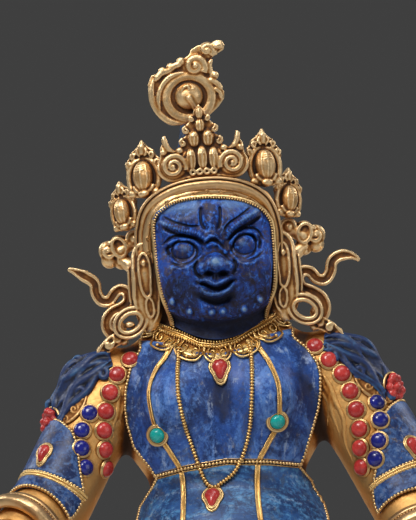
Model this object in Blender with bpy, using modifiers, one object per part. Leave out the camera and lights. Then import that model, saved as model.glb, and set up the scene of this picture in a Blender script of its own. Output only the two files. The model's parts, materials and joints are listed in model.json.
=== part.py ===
# A standing pot-bellied Jambhala in gilt copper, faced with lapis lazuli and set with
# coral, lapis and turquoise, on a low oval lotus base. Run it in Blender 4.5.
# The free form is drawn on an upright figure grid: x to the viewer's right, y to the back,
# z up, with z = 0 at the belly. The grid leans as one on the hips. The base stays level.
import math

import bmesh
import bpy
from mathutils import Matrix, Vector
from mathutils.bvhtree import BVHTree

for old in list(bpy.data.objects):
    bpy.data.objects.remove(old)

# Driving sizes, in metres
FIGURE_HEIGHT = 0.273
BASE_WIDTH = 0.150
BASE_DEPTH = 0.098
BASE_HEIGHT = 0.034
PLATE_THICKNESS = 0.0013
SEAM = 0.0003
CORAL_DIAMETER = 0.0060
LAPIS_BEAD_DIAMETER = 0.0058
TURQUOISE_DIAMETER = 0.0046
STONE_SPACING = 0.0008
CHAIN_DIAMETER = 0.0016
STRAP_DIAMETER = 0.0020
BAND_DIAMETER = 0.0032
LEAF_THICKNESS = 0.0016
COLLAR_THICKNESS = 0.0012
ARMLET_THICKNESS = 0.0021
BRACELET_THICKNESS = 0.0036
BRACELET_WIDTH = 0.0085
RIBBON_WIDTH = 0.0042
RIBBON_THICKNESS = 0.0024

# The figure is 760 grid parts tall from its soles to the tip of its crest
GRID_HEIGHT = 760.0
SOLE_LEVEL = -278.0
PART = FIGURE_HEIGHT / GRID_HEIGHT
LEAN = math.radians(4.5)
HIP = Vector((0.001, 0.0, BASE_HEIGHT + SEAM - SOLE_LEVEL * PART))

# How closely the curved forms are faceted
BODY_VOXEL = 4.4 * PART
TRINKET_VOXEL = 1.5 * PART
BODY_TRIANGLES = 2100
FACE_TRIANGLES = 600
LEAF_TRIANGLES = 110
MIDDLE_TRIANGLES = 400
CREST_TRIANGLES = 330
BOW_TRIANGLES = 390

COLOURS = {
    "gilt": ((0.80, 0.56, 0.27), 0.35, 1.0),
    "lapis": ((0.05, 0.13, 0.42), 0.38, 0.0),
    "coral": ((0.72, 0.10, 0.09), 0.35, 0.0),
    "lapis_bead": ((0.02, 0.03, 0.36), 0.22, 0.0),
    "turquoise": ((0.02, 0.50, 0.46), 0.40, 0.0),
}


def material(name):
    found = bpy.data.materials.get(name)
    if found:
        return found
    colour, roughness, metallic = COLOURS[name]
    made = bpy.data.materials.new(name)
    made.use_nodes = True
    shader = made.node_tree.nodes["Principled BSDF"]
    shader.inputs["Base Color"].default_value = (*colour, 1.0)
    shader.inputs["Roughness"].default_value = roughness
    shader.inputs["Metallic"].default_value = metallic
    return made


statue = bpy.data.collections.new("jambhala_statue")
bpy.context.scene.collection.children.link(statue)
figure_frame = bpy.data.objects.new("figure_frame", None)
figure_frame.location = HIP
figure_frame.rotation_euler.y = -LEAN
statue.objects.link(figure_frame)
bpy.context.view_layer.update()


def grid(x, y, z):
    """A point of the figure grid, in metres."""
    return Vector((x, y, z)) * PART


def level(x, y, z):
    """A point given on the level ground under the figure, as a point of the leaning figure."""
    return Matrix.Rotation(LEAN, 3, "Y") @ grid(x, y, z)


def add_object(name, bm, colour, leaning=True):
    mesh = bpy.data.meshes.new(name)
    bmesh.ops.recalc_face_normals(bm, faces=bm.faces)
    if bm.calc_volume(signed=True) < 0:
        bmesh.ops.reverse_faces(bm, faces=bm.faces)
    bm.to_mesh(mesh)
    bm.free()
    mesh.materials.append(material(colour))
    made = bpy.data.objects.new(name, mesh)
    statue.objects.link(made)
    if leaning:
        made.parent = figure_frame
    return made


def settled(made):
    """Applies an object's modifiers, so that later pieces can be set on the finished mesh."""
    graph = bpy.context.evaluated_depsgraph_get()
    mesh = bpy.data.meshes.new_from_object(made.evaluated_get(graph))
    made.modifiers.clear()
    made.data = mesh
    return made


def fuse(made, voxel, smoothing, triangles):
    """Melts overlapping closed forms into one skin, softens the joins and thins out the facets."""
    remesh = made.modifiers.new("skin", "REMESH")
    remesh.mode = "VOXEL"
    remesh.voxel_size = voxel
    if smoothing:
        soften = made.modifiers.new("soften", "SMOOTH")
        soften.factor = 0.5
        soften.iterations = smoothing
    settled(made)
    made.data.calc_loop_triangles()
    thin = made.modifiers.new("thin", "DECIMATE")
    thin.ratio = min(1.0, triangles / len(made.data.loop_triangles))
    thin.use_collapse_triangulate = True
    return settled(made)


# Closed forms that the fused pieces are made of

def add_ellipsoid(bm, centre, radii, turn=None, segments=20):
    size = Matrix.Diagonal((*radii, 1.0))
    matrix = Matrix.Translation(centre) @ (turn or Matrix.Identity(4)) @ size
    bmesh.ops.create_uvsphere(bm, u_segments=segments, v_segments=segments // 2, radius=1.0, matrix=matrix)


def add_limb(bm, joints):
    """A chain of tapered tubes with a ball at each joint. Each joint is (centre, radius)."""
    for centre, radius in joints:
        add_ellipsoid(bm, centre, (radius, radius, radius))
    for (start, start_radius), (end, end_radius) in zip(joints, joints[1:]):
        along = end - start
        turn = along.to_track_quat("Z", "Y").to_matrix().to_4x4()
        matrix = Matrix.Translation((start + end) / 2) @ turn
        bmesh.ops.create_cone(
            bm, cap_ends=True, segments=20, radius1=start_radius, radius2=end_radius,
            depth=along.length, matrix=matrix)


def add_loft(bm, sections, sides=28):
    """A closed loft through level ellipses. Each section is (z, y, half width, half depth)."""
    rings = []
    for z, y, half_width, half_depth in sections:
        ring = []
        for i in range(sides):
            angle = 2 * math.pi * i / sides
            ring.append(bm.verts.new(grid(half_width * math.cos(angle), y + half_depth * math.sin(angle), z)))
        rings.append(ring)
    for low, high in zip(rings, rings[1:]):
        for i in range(sides):
            j = (i + 1) % sides
            bm.faces.new((low[i], low[j], high[j], high[i]))
    bm.faces.new(list(reversed(rings[0])))
    bm.faces.new(rings[-1])


def add_plate(bm, outline, front, back):
    """A flat plate between two depths, from an outline of (x, z) points."""
    near = [bm.verts.new(grid(x, front, z)) for x, z in outline]
    far = [bm.verts.new(grid(x, back, z)) for x, z in outline]
    bm.faces.new(near)
    bm.faces.new(list(reversed(far)))
    for i in range(len(outline)):
        j = (i + 1) % len(outline)
        bm.faces.new((near[j], near[i], far[i], far[j]))


def mirrored(points):
    """A closed outline from its right half, which runs from bottom to top."""
    left = [(-x, z) for x, z in reversed(points) if x > 0]
    return points + left


def smooth_path(points, steps):
    """A smooth curve through a few chosen points, as many short ones."""
    path = []
    for i in range(len(points) - 1):
        before = points[max(i - 1, 0)]
        start, end = points[i], points[i + 1]
        after = points[min(i + 2, len(points) - 1)]
        for step in range(steps):
            t = step / steps
            path.append(
                0.5 * (2 * start + (end - before) * t + (2 * before - 5 * start + 4 * end - after) * t * t
                       + (3 * start - before - 3 * end + after) * t ** 3))
    path.append(points[-1])
    return path


def add_sweep(bm, path, half_width, half_depth, sides=8):
    """A flat ribbon along a path that faces the viewer, tapered to its first point."""
    rings = []
    for i, point in enumerate(path):
        along = (path[min(i + 1, len(path) - 1)] - path[max(i - 1, 0)]).normalized()
        across = along.cross(Vector((0, 1, 0))).normalized()
        taper = min(1.0, 0.35 + 0.65 * i / (0.25 * len(path)))
        ring = []
        for k in range(sides):
            angle = 2 * math.pi * (k + 0.5) / sides
            offset = across * math.cos(angle) * half_width * taper
            offset += Vector((0, 1, 0)) * math.sin(angle) * half_depth * taper
            ring.append(bm.verts.new(point + offset))
        rings.append(ring)
    for low, high in zip(rings, rings[1:]):
        for k in range(sides):
            j = (k + 1) % sides
            bm.faces.new((low[k], low[j], high[j], high[k]))
    bm.faces.new(list(reversed(rings[0])))
    bm.faces.new(rings[-1])


class Surface:
    """What later pieces are laid on: finished meshes, in the figure's own frame."""

    def __init__(self, *objects):
        points, faces = [], []
        for made in objects:
            first = len(points)
            points += [v.co.copy() for v in made.data.vertices]
            faces += [[first + i for i in face.vertices] for face in made.data.polygons]
        self.tree = BVHTree.FromPolygons(points, faces)

    def wall(self, origin, direction, reach, first=False):
        """How far the last wall along a ray is from its origin, or the first one, or None."""
        found, travelled = None, 0.0
        start = origin.copy()
        while travelled < reach:
            point, _, _, distance = self.tree.ray_cast(start, direction, reach - travelled)
            if point is None:
                break
            travelled += distance
            found = travelled
            if first:
                break
            travelled += 1e-6
            start = origin + direction * travelled
        return found

    def front(self, x, z):
        """The point that a viewer in front sees at x, z, in metres."""
        point, _, _, _ = self.tree.ray_cast(Vector((x, -1.0, z)), Vector((0, 1, 0)))
        return point

    def nearest_front(self, x, z, around):
        """The y of the most forward point that a viewer sees at and around x, z."""
        hits = [self.front(x + around * i, z + around * j) for i in (-1, 0, 1) for j in (-1, 0, 1)]
        return min(hit.y for hit in hits if hit is not None)

    def shortage(self, point, clear):
        """How much nearer than clear a point in front of the surface is to it, or 0."""
        distance = self.tree.find_nearest(point)[3]
        wall = self.front(point.x, point.z)
        if wall is not None and wall.y < point.y:
            distance = -distance
        return max(0.0, clear - distance)

    def facing(self, x, z, radius):
        """The front point at x, z and the mean outward direction around it."""
        ring = []
        for i in range(8):
            angle = math.pi * i / 4
            hit = self.front(x + radius * math.cos(angle), z + radius * math.sin(angle))
            if hit is not None:
                ring.append(hit)
        point = self.front(x, z)
        normal = Vector()
        for a, b in zip(ring, ring[1:] + ring[:1]):
            normal += (a - point).cross(b - point)
        normal.normalize()
        return point, normal if normal.y < 0 else -normal


def cleared(rows, distances, spans, surface, gap, reach, first):
    """Raises the corners of a plate's inner side until it clears the surface between them too."""
    for _ in range(3):
        for r in range(len(rows) - 1):
            for c, d in spans:
                corners = [(r, c), (r, d), (r + 1, c), (r + 1, d)]
                shortage = 0.0
                for s in (0, 1 / 3, 2 / 3, 1):
                    for t in (0, 1 / 3, 2 / 3, 1):
                        shares = [(1 - s) * (1 - t), (1 - s) * t, s * (1 - t), s * t]
                        origin = sum((w * rows[i][j][0] for w, (i, j) in zip(shares, corners)), Vector())
                        point = sum(
                            (w * (rows[i][j][0] + rows[i][j][1] * distances[i][j])
                             for w, (i, j) in zip(shares, corners)), Vector())
                        ray = point - origin
                        found = surface.wall(origin, ray.normalized(), reach * PART, first)
                        if found is not None:
                            shortage = max(shortage, found + gap - ray.length)
                for i, j in corners:
                    distances[i][j] += shortage


def nestle(made, surface, toward, furthest=16.0):
    """Slides a loose piece towards the surface until it stands one seam away from it."""
    direction = Vector(toward).normalized()
    moved = 0.0
    for _ in range(24):
        free = min(surface.tree.find_nearest(v.co)[3] for v in made.data.vertices) - 1.3 * SEAM
        step = min(free, furthest * PART - moved)
        if abs(step) < 0.05 * SEAM:
            break
        made.data.transform(Matrix.Translation(direction * step))
        moved += step


def add_shell(name, rows, surface, gap, thickness, colour, closed=False, reach=150.0, first=True):
    """A plate laid on a surface. Each row is a list of rays (origin, direction) from inside the form.

    thickness is a length, or a function of the row and column numbers."""
    last_row, last_column = len(rows) - 1, len(rows[0]) - 1
    spans = [(c, c + 1) for c in range(last_column)]
    if closed:
        spans.append((last_column, 0))
    distances = []
    for r, row in enumerate(rows):
        distances.append([])
        for c, (origin, direction) in enumerate(row):
            distance = surface.wall(origin, direction, reach * PART, first)
            if distance is None:
                raise ValueError(f"{name}: no surface at row {r}, column {c}")
            distances[-1].append(distance + gap)
    cleared(rows, distances, spans, surface, gap, reach, first)
    bm = bmesh.new()
    inner, outer = [], []
    for r, row in enumerate(rows):
        low, high = [], []
        for c, (origin, direction) in enumerate(row):
            thick = thickness(r, c) if callable(thickness) else thickness
            low.append(bm.verts.new(origin + direction * distances[r][c]))
            high.append(bm.verts.new(origin + direction * (distances[r][c] + thick)))
        inner.append(low)
        outer.append(high)
    for r in range(last_row):
        for c, d in spans:
            bm.faces.new((outer[r][c], outer[r][d], outer[r + 1][d], outer[r + 1][c]))
            bm.faces.new((inner[r][d], inner[r][c], inner[r + 1][c], inner[r + 1][d]))
    for c, d in spans:
        bm.faces.new((inner[0][c], inner[0][d], outer[0][d], outer[0][c]))
        bm.faces.new((outer[-1][c], outer[-1][d], inner[-1][d], inner[-1][c]))
    if not closed:
        for r in range(last_row):
            bm.faces.new((outer[r][0], outer[r + 1][0], inner[r + 1][0], inner[r][0]))
            bm.faces.new((inner[r][-1], inner[r + 1][-1], outer[r + 1][-1], outer[r][-1]))
    return add_object(name, bm, colour)


def between(pairs, value):
    """Reads a value off a short list of (position, value) pairs, in straight lines."""
    if value <= pairs[0][0]:
        return pairs[0][1]
    for (a, at_a), (b, at_b) in zip(pairs, pairs[1:]):
        if value <= b:
            return at_a + (at_b - at_a) * (value - a) / (b - a)
    return pairs[-1][1]


# The gilt figure: one casting, from the hair to the soles

TORSO = [
    (-120, -8, 34, 30), (-104, -10, 74, 60), (-75, -15, 98, 79), (-42, -18, 106, 87), (-10, -17, 99, 83),
    (15, -12, 87, 73), (32, -7, 78, 63), (44, -3, 78, 58), (58, 0, 87, 60), (72, 1, 96, 62), (90, 2, 100, 64),
    (120, 4, 100, 66), (148, 6, 100, 62), (168, 8, 96, 55), (182, 8, 86, 48), (194, 8, 70, 42), (205, 6, 52, 38),
    (228, 4, 42, 38)]
HEAD_CENTRE = 3
HEAD = ((3, 8, 262), (62, 52, 68))
JAW = ((3, -2, 226), (56, 44, 40))
HOOD = [((60, -8, 214), 8), ((62, -14, 228), 9), ((63, -18, 245), 10), ((62, -21, 285), 11), ((53, -25, 316), 12),
        ((30, -29, 330), 12), ((0, -31, 335), 12)]
BACK_HAIR = [((0, 26, 300), 48), ((0, 32, 262), 52), ((0, 36, 215), 44), ((0, 42, 170), 32)]
TOPKNOT = [((0, 10, 322), 34), ((0, 10, 358), 25), ((-3, 6, 392), 16), ((-4, 4, 412), 11)]
SHOULDER_LOCK = [((106, -6, 176), 12), ((124, -10, 166), 15), ((142, -12, 150), 16), ((155, -12, 132), 13),
                 ((166, -12, 112), 8)]
RIGHT_ARM = [((-98, 4, 140), 40), ((-118, 0, 121), 40), ((-146, -17, 78), 38), ((-174, -38, 30), 38),
             ((-204, -76, 6), 33), ((-228, -112, -10), 21)]
LEFT_ARM = [((100, 4, 142), 40), ((123, 0, 120), 41), ((150, -14, 70), 41), ((174, -32, 16), 40),
            ((187, -74, -28), 34), ((194, -112, -64), 21)]
RIGHT_PALM = [((-228, -112, -10), 20), ((-236, -130, -14), 20)]
LEFT_PALM = [((194, -112, -64), 20), ((197, -130, -76), 20)]
JEWEL = ((-240, -138, 22), (19, 19, 21))
RIGHT_FINGERS = [
    [((-250, -138, -16), 7), ((-262, -142, 4), 6.5), ((-259, -143, 20), 6)],
    [((-241, -146, -16), 7), ((-246, -160, 2), 6.5), ((-245, -158, 20), 6)],
    [((-230, -146, -14), 7), ((-228, -161, 4), 6.5), ((-229, -159, 20), 6)],
    [((-222, -130, -8), 8), ((-214, -138, 6), 7), ((-217, -142, 22), 6)]]
MONGOOSE = [((162, -134, -92), 10), ((166, -140, -74), 14), ((186, -150, -58), 18), ((212, -148, -50), 17),
            ((228, -142, -34), 13), ((238, -144, -24), 13), ((250, -148, -24), 9)]
MONGOOSE_EARS = [((234, -136, -12), 6), ((236, -152, -12), 6)]
MONGOOSE_TAIL = [((162, -134, -92), 10), ((158, -128, -112), 8), ((164, -124, -128), 7)]
LEFT_FINGERS = [
    [((206, -140, -84), 8), ((214, -164, -70), 7.5), ((212, -168, -52), 7)],
    [((194, -142, -86), 8), ((198, -168, -72), 7.5), ((197, -171, -54), 7)],
    [((182, -138, -84), 8), ((180, -166, -74), 7.5), ((181, -170, -58), 7)],
    [((206, -122, -62), 8), ((222, -128, -46), 7), ((216, -142, -34), 6)]]
BENT_LEG = [((-44, 2, -92), 54), ((-116, -46, -140), 44), ((-100, -20, -196), 33), ((-92, -4, -240), 25)]
STRAIGHT_LEG = [((44, 2, -92), 54), ((92, -18, -160), 43), ((108, -8, -206), 33), ((112, 2, -242), 25)]
BENT_FOOT = [((-90, 12, -258), 21), ((-106, -24, -260), 20), ((-122, -56, -265), 17)]
STRAIGHT_FOOT = [((112, 16, -258), 21), ((124, -22, -260), 20), ((136, -56, -265), 17)]
CHEST_SWELL = ((38, -24, 122), (40, 44, 44))


def joints_of(chain, place=grid):
    return [(place(*centre), radius * PART) for centre, radius in chain]


def make_figure():
    bm = bmesh.new()
    add_loft(bm, TORSO)
    for centre, radii in (HEAD, JAW):
        add_ellipsoid(bm, grid(*centre), [r * PART for r in radii])
    for side in (-1, 1):
        (x, y, z), radii = CHEST_SWELL
        add_ellipsoid(bm, grid(side * x, y, z), [r * PART for r in radii])
    for chain, centre in ((HOOD, HEAD_CENTRE), (SHOULDER_LOCK, 0)):
        add_limb(bm, joints_of(chain, lambda x, y, z: grid(centre + x, y, z)))
        add_limb(bm, joints_of(chain, lambda x, y, z: grid(centre - x, y, z)))
    chains = [BACK_HAIR, TOPKNOT, RIGHT_ARM, LEFT_ARM, RIGHT_PALM, LEFT_PALM, MONGOOSE, MONGOOSE_TAIL]
    for chain in chains + RIGHT_FINGERS + LEFT_FINGERS:
        add_limb(bm, joints_of(chain))
    for centre, radius in MONGOOSE_EARS:
        add_ellipsoid(bm, grid(*centre), [radius * PART] * 3)
    add_ellipsoid(bm, grid(*JEWEL[0]), [r * PART for r in JEWEL[1]])
    for chain in (BENT_LEG, STRAIGHT_LEG, BENT_FOOT, STRAIGHT_FOOT):
        add_limb(bm, joints_of(chain, level))
    figure = fuse(add_object("gilt_figure", bm, "gilt"), BODY_VOXEL, 8, BODY_TRIANGLES)
    # The soles are cut flat and level, one seam above the base
    bm = bmesh.new()
    bm.from_mesh(figure.data)
    up = Matrix.Rotation(LEAN, 3, "Y") @ Vector((0, 0, 1))
    everything = bm.verts[:] + bm.edges[:] + bm.faces[:]
    cut = bmesh.ops.bisect_plane(
        bm, geom=everything, plane_co=up * SOLE_LEVEL * PART, plane_no=-up, clear_outer=True)
    rim = [e for e in cut["geom_cut"] if isinstance(e, bmesh.types.BMEdge)]
    bmesh.ops.contextual_create(bm, geom=rim)
    bmesh.ops.triangulate(bm, faces=bm.faces)
    bm.to_mesh(figure.data)
    bm.free()
    return figure


# The lapis face: a thin mask, laid on the head and carved with the wrathful features

FACE_CENTRE = 4.0
FACE_HALF_WIDTH = [(0.0, 43), (0.1, 46), (0.2, 51), (0.3, 54), (0.5, 56), (0.78, 57.5), (0.9, 54.5), (0.96, 49),
                   (1.0, 40)]
CHIN_LINE = [(0, 194), (20, 197), (35, 203), (50, 212)]
FACE_BALL = ((0, -2, 258), (74, 64, 86))
BROW = [(48, 305), (36, 299), (25, 293), (14, 289), (7, 284)]
MOUTH = [(18, 240), (10, 241), (4, 237), (0, 235)]
FACE_LUMPS = [
    # x, z, half width, half height, how far it stands out; all but those at 0 are on both sides
    (0, 276, 8, 16, 5), (0, 286, 8, 5, 4), (0, 258, 12, 9, 16), (14, 256, 7, 7, 11), (8, 249, 4, 3, -7),
    (30, 274, 17, 13, -6), (36, 246, 14, 14, 6), (0, 243, 22, 8, 6), (0, 229, 14, 4, 6), (0, 221, 16, 4, -4),
    (0, 211, 20, 10, 8), (0, 305, 5, 10, 4), (9, 304, 2.5, 11, -3), (44, 220, 4, 5, 5), (27, 211, 4, 5, 6),
    (7, 208, 4, 5, 6), (24, 236, 4, 12, -3)]
EYE = (30, 273, 11.5)


def distance_to_line(x, z, line):
    best = 1e9
    for (ax, az), (bx, bz) in zip(line, line[1:]):
        length = (bx - ax) ** 2 + (bz - az) ** 2
        t = max(0.0, min(1.0, ((x - ax) * (bx - ax) + (z - az) * (bz - az)) / length))
        best = min(best, math.hypot(x - ax - t * (bx - ax), z - az - t * (bz - az)))
    return best


def face_front(x, z):
    """How far in front of the grid's middle plane the face's surface lies."""
    (_, cy, cz), (rx, ry, rz) = FACE_BALL
    side = abs(x)
    inside = max(0.05, 1 - (x / rx) ** 2 - ((z - cz) / rz) ** 2)
    depth = -cy + ry * math.sqrt(inside)
    for lx, lz, wide, tall, height in FACE_LUMPS:
        depth += height * math.exp(-((side - lx) / wide) ** 2 - ((z - lz) / tall) ** 2)
    depth += 5.0 * math.exp(-(distance_to_line(side, z, BROW) / 4.0) ** 2)
    depth -= 5.0 * math.exp(-(distance_to_line(side, z, MOUTH) / 2.2) ** 2)
    ex, ez, eye_radius = EYE
    ball = eye_radius ** 2 - (side - ex) ** 2 - (z - ez) ** 2
    if ball > 0:
        depth += 0.8 * math.sqrt(ball)
    return depth


def make_face(surface):
    """The mask runs down the front of the neck to the collar, stepping in under the chin."""
    rows, columns = 27, 22
    bm = bmesh.new()
    near, far = [], []
    for r in range(rows):
        near.append([])
        far.append([])
        for c in range(columns):
            across = 2 * c / (columns - 1) - 1
            low, high = 182 + 21 * across ** 2, 319 - 8 * abs(across) ** 3
            z = low + (high - low) * r / (rows - 1)
            x = across * between(FACE_HALF_WIDTH, r / (rows - 1))
            centre = FACE_CENTRE * PART
            back = surface.nearest_front(centre + x * PART, z * PART, 4 * PART) - 3 * SEAM
            under_chin = between(CHIN_LINE, abs(x)) - z
            share = max(0.0, min(1.0, 0.5 + under_chin / 8))
            front = min(-face_front(x, z) * PART, back - PLATE_THICKNESS)
            front += (back - PLATE_THICKNESS - front) * share
            near[-1].append(bm.verts.new((centre + x * PART, front, z * PART)))
            far[-1].append(bm.verts.new((centre + x * PART, back, z * PART)))
    for r in range(rows - 1):
        for c in range(columns - 1):
            bm.faces.new((near[r][c], near[r][c + 1], near[r + 1][c + 1], near[r + 1][c]))
            bm.faces.new((far[r][c + 1], far[r][c], far[r + 1][c], far[r + 1][c + 1]))
    for c in range(columns - 1):
        bm.faces.new((far[0][c], far[0][c + 1], near[0][c + 1], near[0][c]))
        bm.faces.new((near[-1][c], near[-1][c + 1], far[-1][c + 1], far[-1][c]))
    for r in range(rows - 1):
        bm.faces.new((near[r][0], near[r + 1][0], far[r + 1][0], far[r][0]))
        bm.faces.new((far[r][-1], far[r + 1][-1], near[r + 1][-1], near[r][-1]))
    face = add_object("lapis_face", bm, "lapis")
    face.data.calc_loop_triangles()
    thin = face.modifiers.new("thin", "DECIMATE")
    thin.ratio = min(1.0, FACE_TRIANGLES / len(face.data.loop_triangles))
    thin.use_collapse_triangulate = True
    return settled(face)


# The lapis plates of the torso and arms

CHEST_EDGE = [(50, 67), (60, 72), (83, 80), (105, 84), (125, 85), (150, 83), (168, 77), (178, 71)]
BELLY_EDGE = [(-70, 72), (-45, 82), (-10, 84), (0, 82), (20, 75), (40, 68), (50, 66)]
BELT_RISE = [(0, 62), (40, 58), (73, 51)]
BELT_JOINT = 2.2


def torso_ray(surface, x, z):
    """A ray from inside the torso that comes out in front at x."""
    origin = grid(0.55 * x, between([(-120, -8), (0, -14), (60, 0), (190, 8)], z), z)
    hit = surface.front(x * PART, z * PART)
    if hit is None:
        raise ValueError(f"no torso in front at {x:.1f}, {z:.1f}")
    direction = hit - origin
    direction.z = 0
    return origin, direction.normalized()


def torso_rows(surface, edge, low, high, rows, columns):
    """Rows of rays between two level or arched borders, which are functions of x."""
    made = []
    for r in range(rows):
        share = r / (rows - 1)
        row = []
        for c in range(columns):
            across = math.sin(math.pi / 2 * (2 * c / (columns - 1) - 1))
            half = between(edge, low(0) + (high(0) - low(0)) * share)
            x = across * half
            z = low(abs(x)) + (high(abs(x)) - low(abs(x))) * share
            x = across * between(edge, z)
            row.append(torso_ray(surface, x, z))
        made.append(row)
    return made


def make_torso_plates(surface):
    gap = 2.2 * SEAM
    belt = lambda x: between(BELT_RISE, x)
    neckline = lambda x: between([(0, 168), (25, 172), (50, 182), (75, 186)], x)
    chest = torso_rows(surface, CHEST_EDGE, lambda x: belt(x) + BELT_JOINT, neckline, 8, 11)
    belly = torso_rows(surface, BELLY_EDGE, lambda x: -72, lambda x: belt(x) - BELT_JOINT, 8, 11)
    return [add_shell("chest_plate", chest, surface, gap, PLATE_THICKNESS, "lapis"),
            add_shell("belly_plate", belly, surface, gap, PLATE_THICKNESS, "lapis")]


ARM_PLATE_UPPER = [(0.235, -20, 150), (0.30, 4, 150), (0.38, 14, 150), (0.46, 24, 150), (0.522, 32, 150)]
ARM_PLATE_LOWER = [(0.568, 34, 150), (0.61, 38, 150), (0.65, 42, 150), (0.69, 44, 150)]
ARMLET_SHARE = 0.545
ARMLET_SPAN = 0.030
BRACELET_SHARE = 0.80


def arm_frame(chain, share):
    """The arm's axis at a share of its length: its centre, its direction, and its front and outer sides."""
    points = smooth_path([grid(*centre) for centre, _ in chain], 12)
    lengths = [0.0]
    for a, b in zip(points, points[1:]):
        lengths.append(lengths[-1] + (b - a).length)
    goal = share * lengths[-1]
    for i in range(1, len(points)):
        if lengths[i] >= goal:
            break
    t = (goal - lengths[i - 1]) / (lengths[i] - lengths[i - 1])
    centre = points[i - 1].lerp(points[i], t)
    before = points[i] - points[max(i - 2, 0)]
    after = points[min(i + 1, len(points) - 1)] - points[i - 1]
    along = before.lerp(after, t).normalized()
    outward = Vector((math.copysign(1.0, centre.x), 0, 0.55))
    outer = (outward - along * outward.dot(along)).normalized()
    front = along.cross(outer)
    if front.dot(Vector((0, -1, 0.3))) < 0:
        front = -front
    return centre, along, front, outer


def arm_ray(chain, share, degrees, shift=0.0):
    """A ray from the arm's axis. 0 degrees faces the front, and 90 the outer side."""
    centre, along, front, outer = arm_frame(chain, share)
    angle = math.radians(degrees)
    direction = front * math.cos(angle) + outer * math.sin(angle)
    return centre + along * shift, direction


def make_arm_plates(side, chain, surface):
    made = []
    for name, spans in (("upper", ARM_PLATE_UPPER), ("lower", ARM_PLATE_LOWER)):
        rows = []
        for share, inner, outer in spans:
            rows.append([arm_ray(chain, share, -inner + (outer + inner) * c / 7) for c in range(8)])
        made.append(add_shell(
            f"{name}_arm_plate_{side}", rows, surface, 1.3 * SEAM, PLATE_THICKNESS, "lapis"))
    return made


def make_armlet(side, chain, surface):
    rows = []
    for r in range(3):
        share = ARMLET_SHARE + ARMLET_SPAN * (r / 2 - 0.5)
        rows.append([arm_ray(chain, share, -36 + 190 * c / 11) for c in range(12)])
    crown = lambda r, c: ARMLET_THICKNESS * (1.25 if r == 1 else 0.9)
    return add_shell(f"armlet_{side}", rows, surface, 1.3 * SEAM, crown, "gilt")


def make_bracelet(side, chain, surface):
    """A round cuff: a thick rim to the front, a hollow, and a lower rim behind."""
    steps = [(0.0, 0.35), (0.15, 1.0), (0.5, 1.0), (0.62, 0.55), (0.85, 0.55), (1.0, 0.3)]
    centre, along, _, _ = arm_frame(chain, BRACELET_SHARE)
    bore = 0.0
    for shift, _ in steps:
        for c in range(16):
            origin, direction = arm_ray(chain, BRACELET_SHARE, 22.5 * c, (0.5 - shift) * BRACELET_WIDTH)
            bore = max(bore, surface.wall(origin, direction, 50 * PART, first=True))
    bore += 2 * SEAM
    bm = bmesh.new()
    inner, outer = [], []
    for shift, height in steps:
        middle = centre + along * (0.5 - shift) * BRACELET_WIDTH
        low, high = [], []
        for c in range(16):
            _, direction = arm_ray(chain, BRACELET_SHARE, 22.5 * c)
            low.append(bm.verts.new(middle + direction * bore))
            high.append(bm.verts.new(middle + direction * (bore + BRACELET_THICKNESS * height)))
        inner.append(low)
        outer.append(high)
    for rings in (inner[:1] + inner[-1:], outer):
        for low, high in zip(rings, rings[1:]):
            for c in range(16):
                d = (c + 1) % 16
                bm.faces.new((low[c], low[d], high[d], high[c]))
    for low, high in ((inner[0], outer[0]), (inner[-1], outer[-1])):
        for c in range(16):
            d = (c + 1) % 16
            bm.faces.new((low[c], low[d], high[d], high[c]))
    for v in [v for v in bm.verts if not v.link_faces]:
        bm.verts.remove(v)
    return add_object(f"bracelet_{side}", bm, "gilt")


# The collar of filigree scallops, the long chain and the two straps

SCALLOPS = 22
COLLAR_TOP = [(0, 178), (20, 181), (40, 190), (70, 200), (90, 203), (180, 206)]
COLLAR_REACH = 82.0
COLLAR_TIPS = [(0, 161), (20, 164), (40, 172), (70, 188), (90, 193), (180, 195)]


def make_collar(surface):
    """A ring around the foot of the neck, with a scalloped lower edge."""
    rows = []
    for r in range(3):
        row = []
        for c in range(2 * SCALLOPS):
            turn = 180 * c / SCALLOPS
            top = between(COLLAR_TOP, min(turn, 360 - turn))
            tip = between(COLLAR_TIPS, min(turn, 360 - turn))
            drop = (top - tip) * (0.75 if c % 2 else 1.0)
            angle = math.radians(turn)
            row.append((grid(0, 6, top - drop * r / 2), Vector((math.sin(angle), -math.cos(angle), 0))))
        rows.append(row)
    bead_rim = lambda r, c: COLLAR_THICKNESS * (1.5, 1.0, 0.8)[r]
    return add_shell(
        "filigree_collar", rows, surface, 1.7 * SEAM, bead_rim, "gilt", closed=True,
        reach=COLLAR_REACH, first=False)


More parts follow.
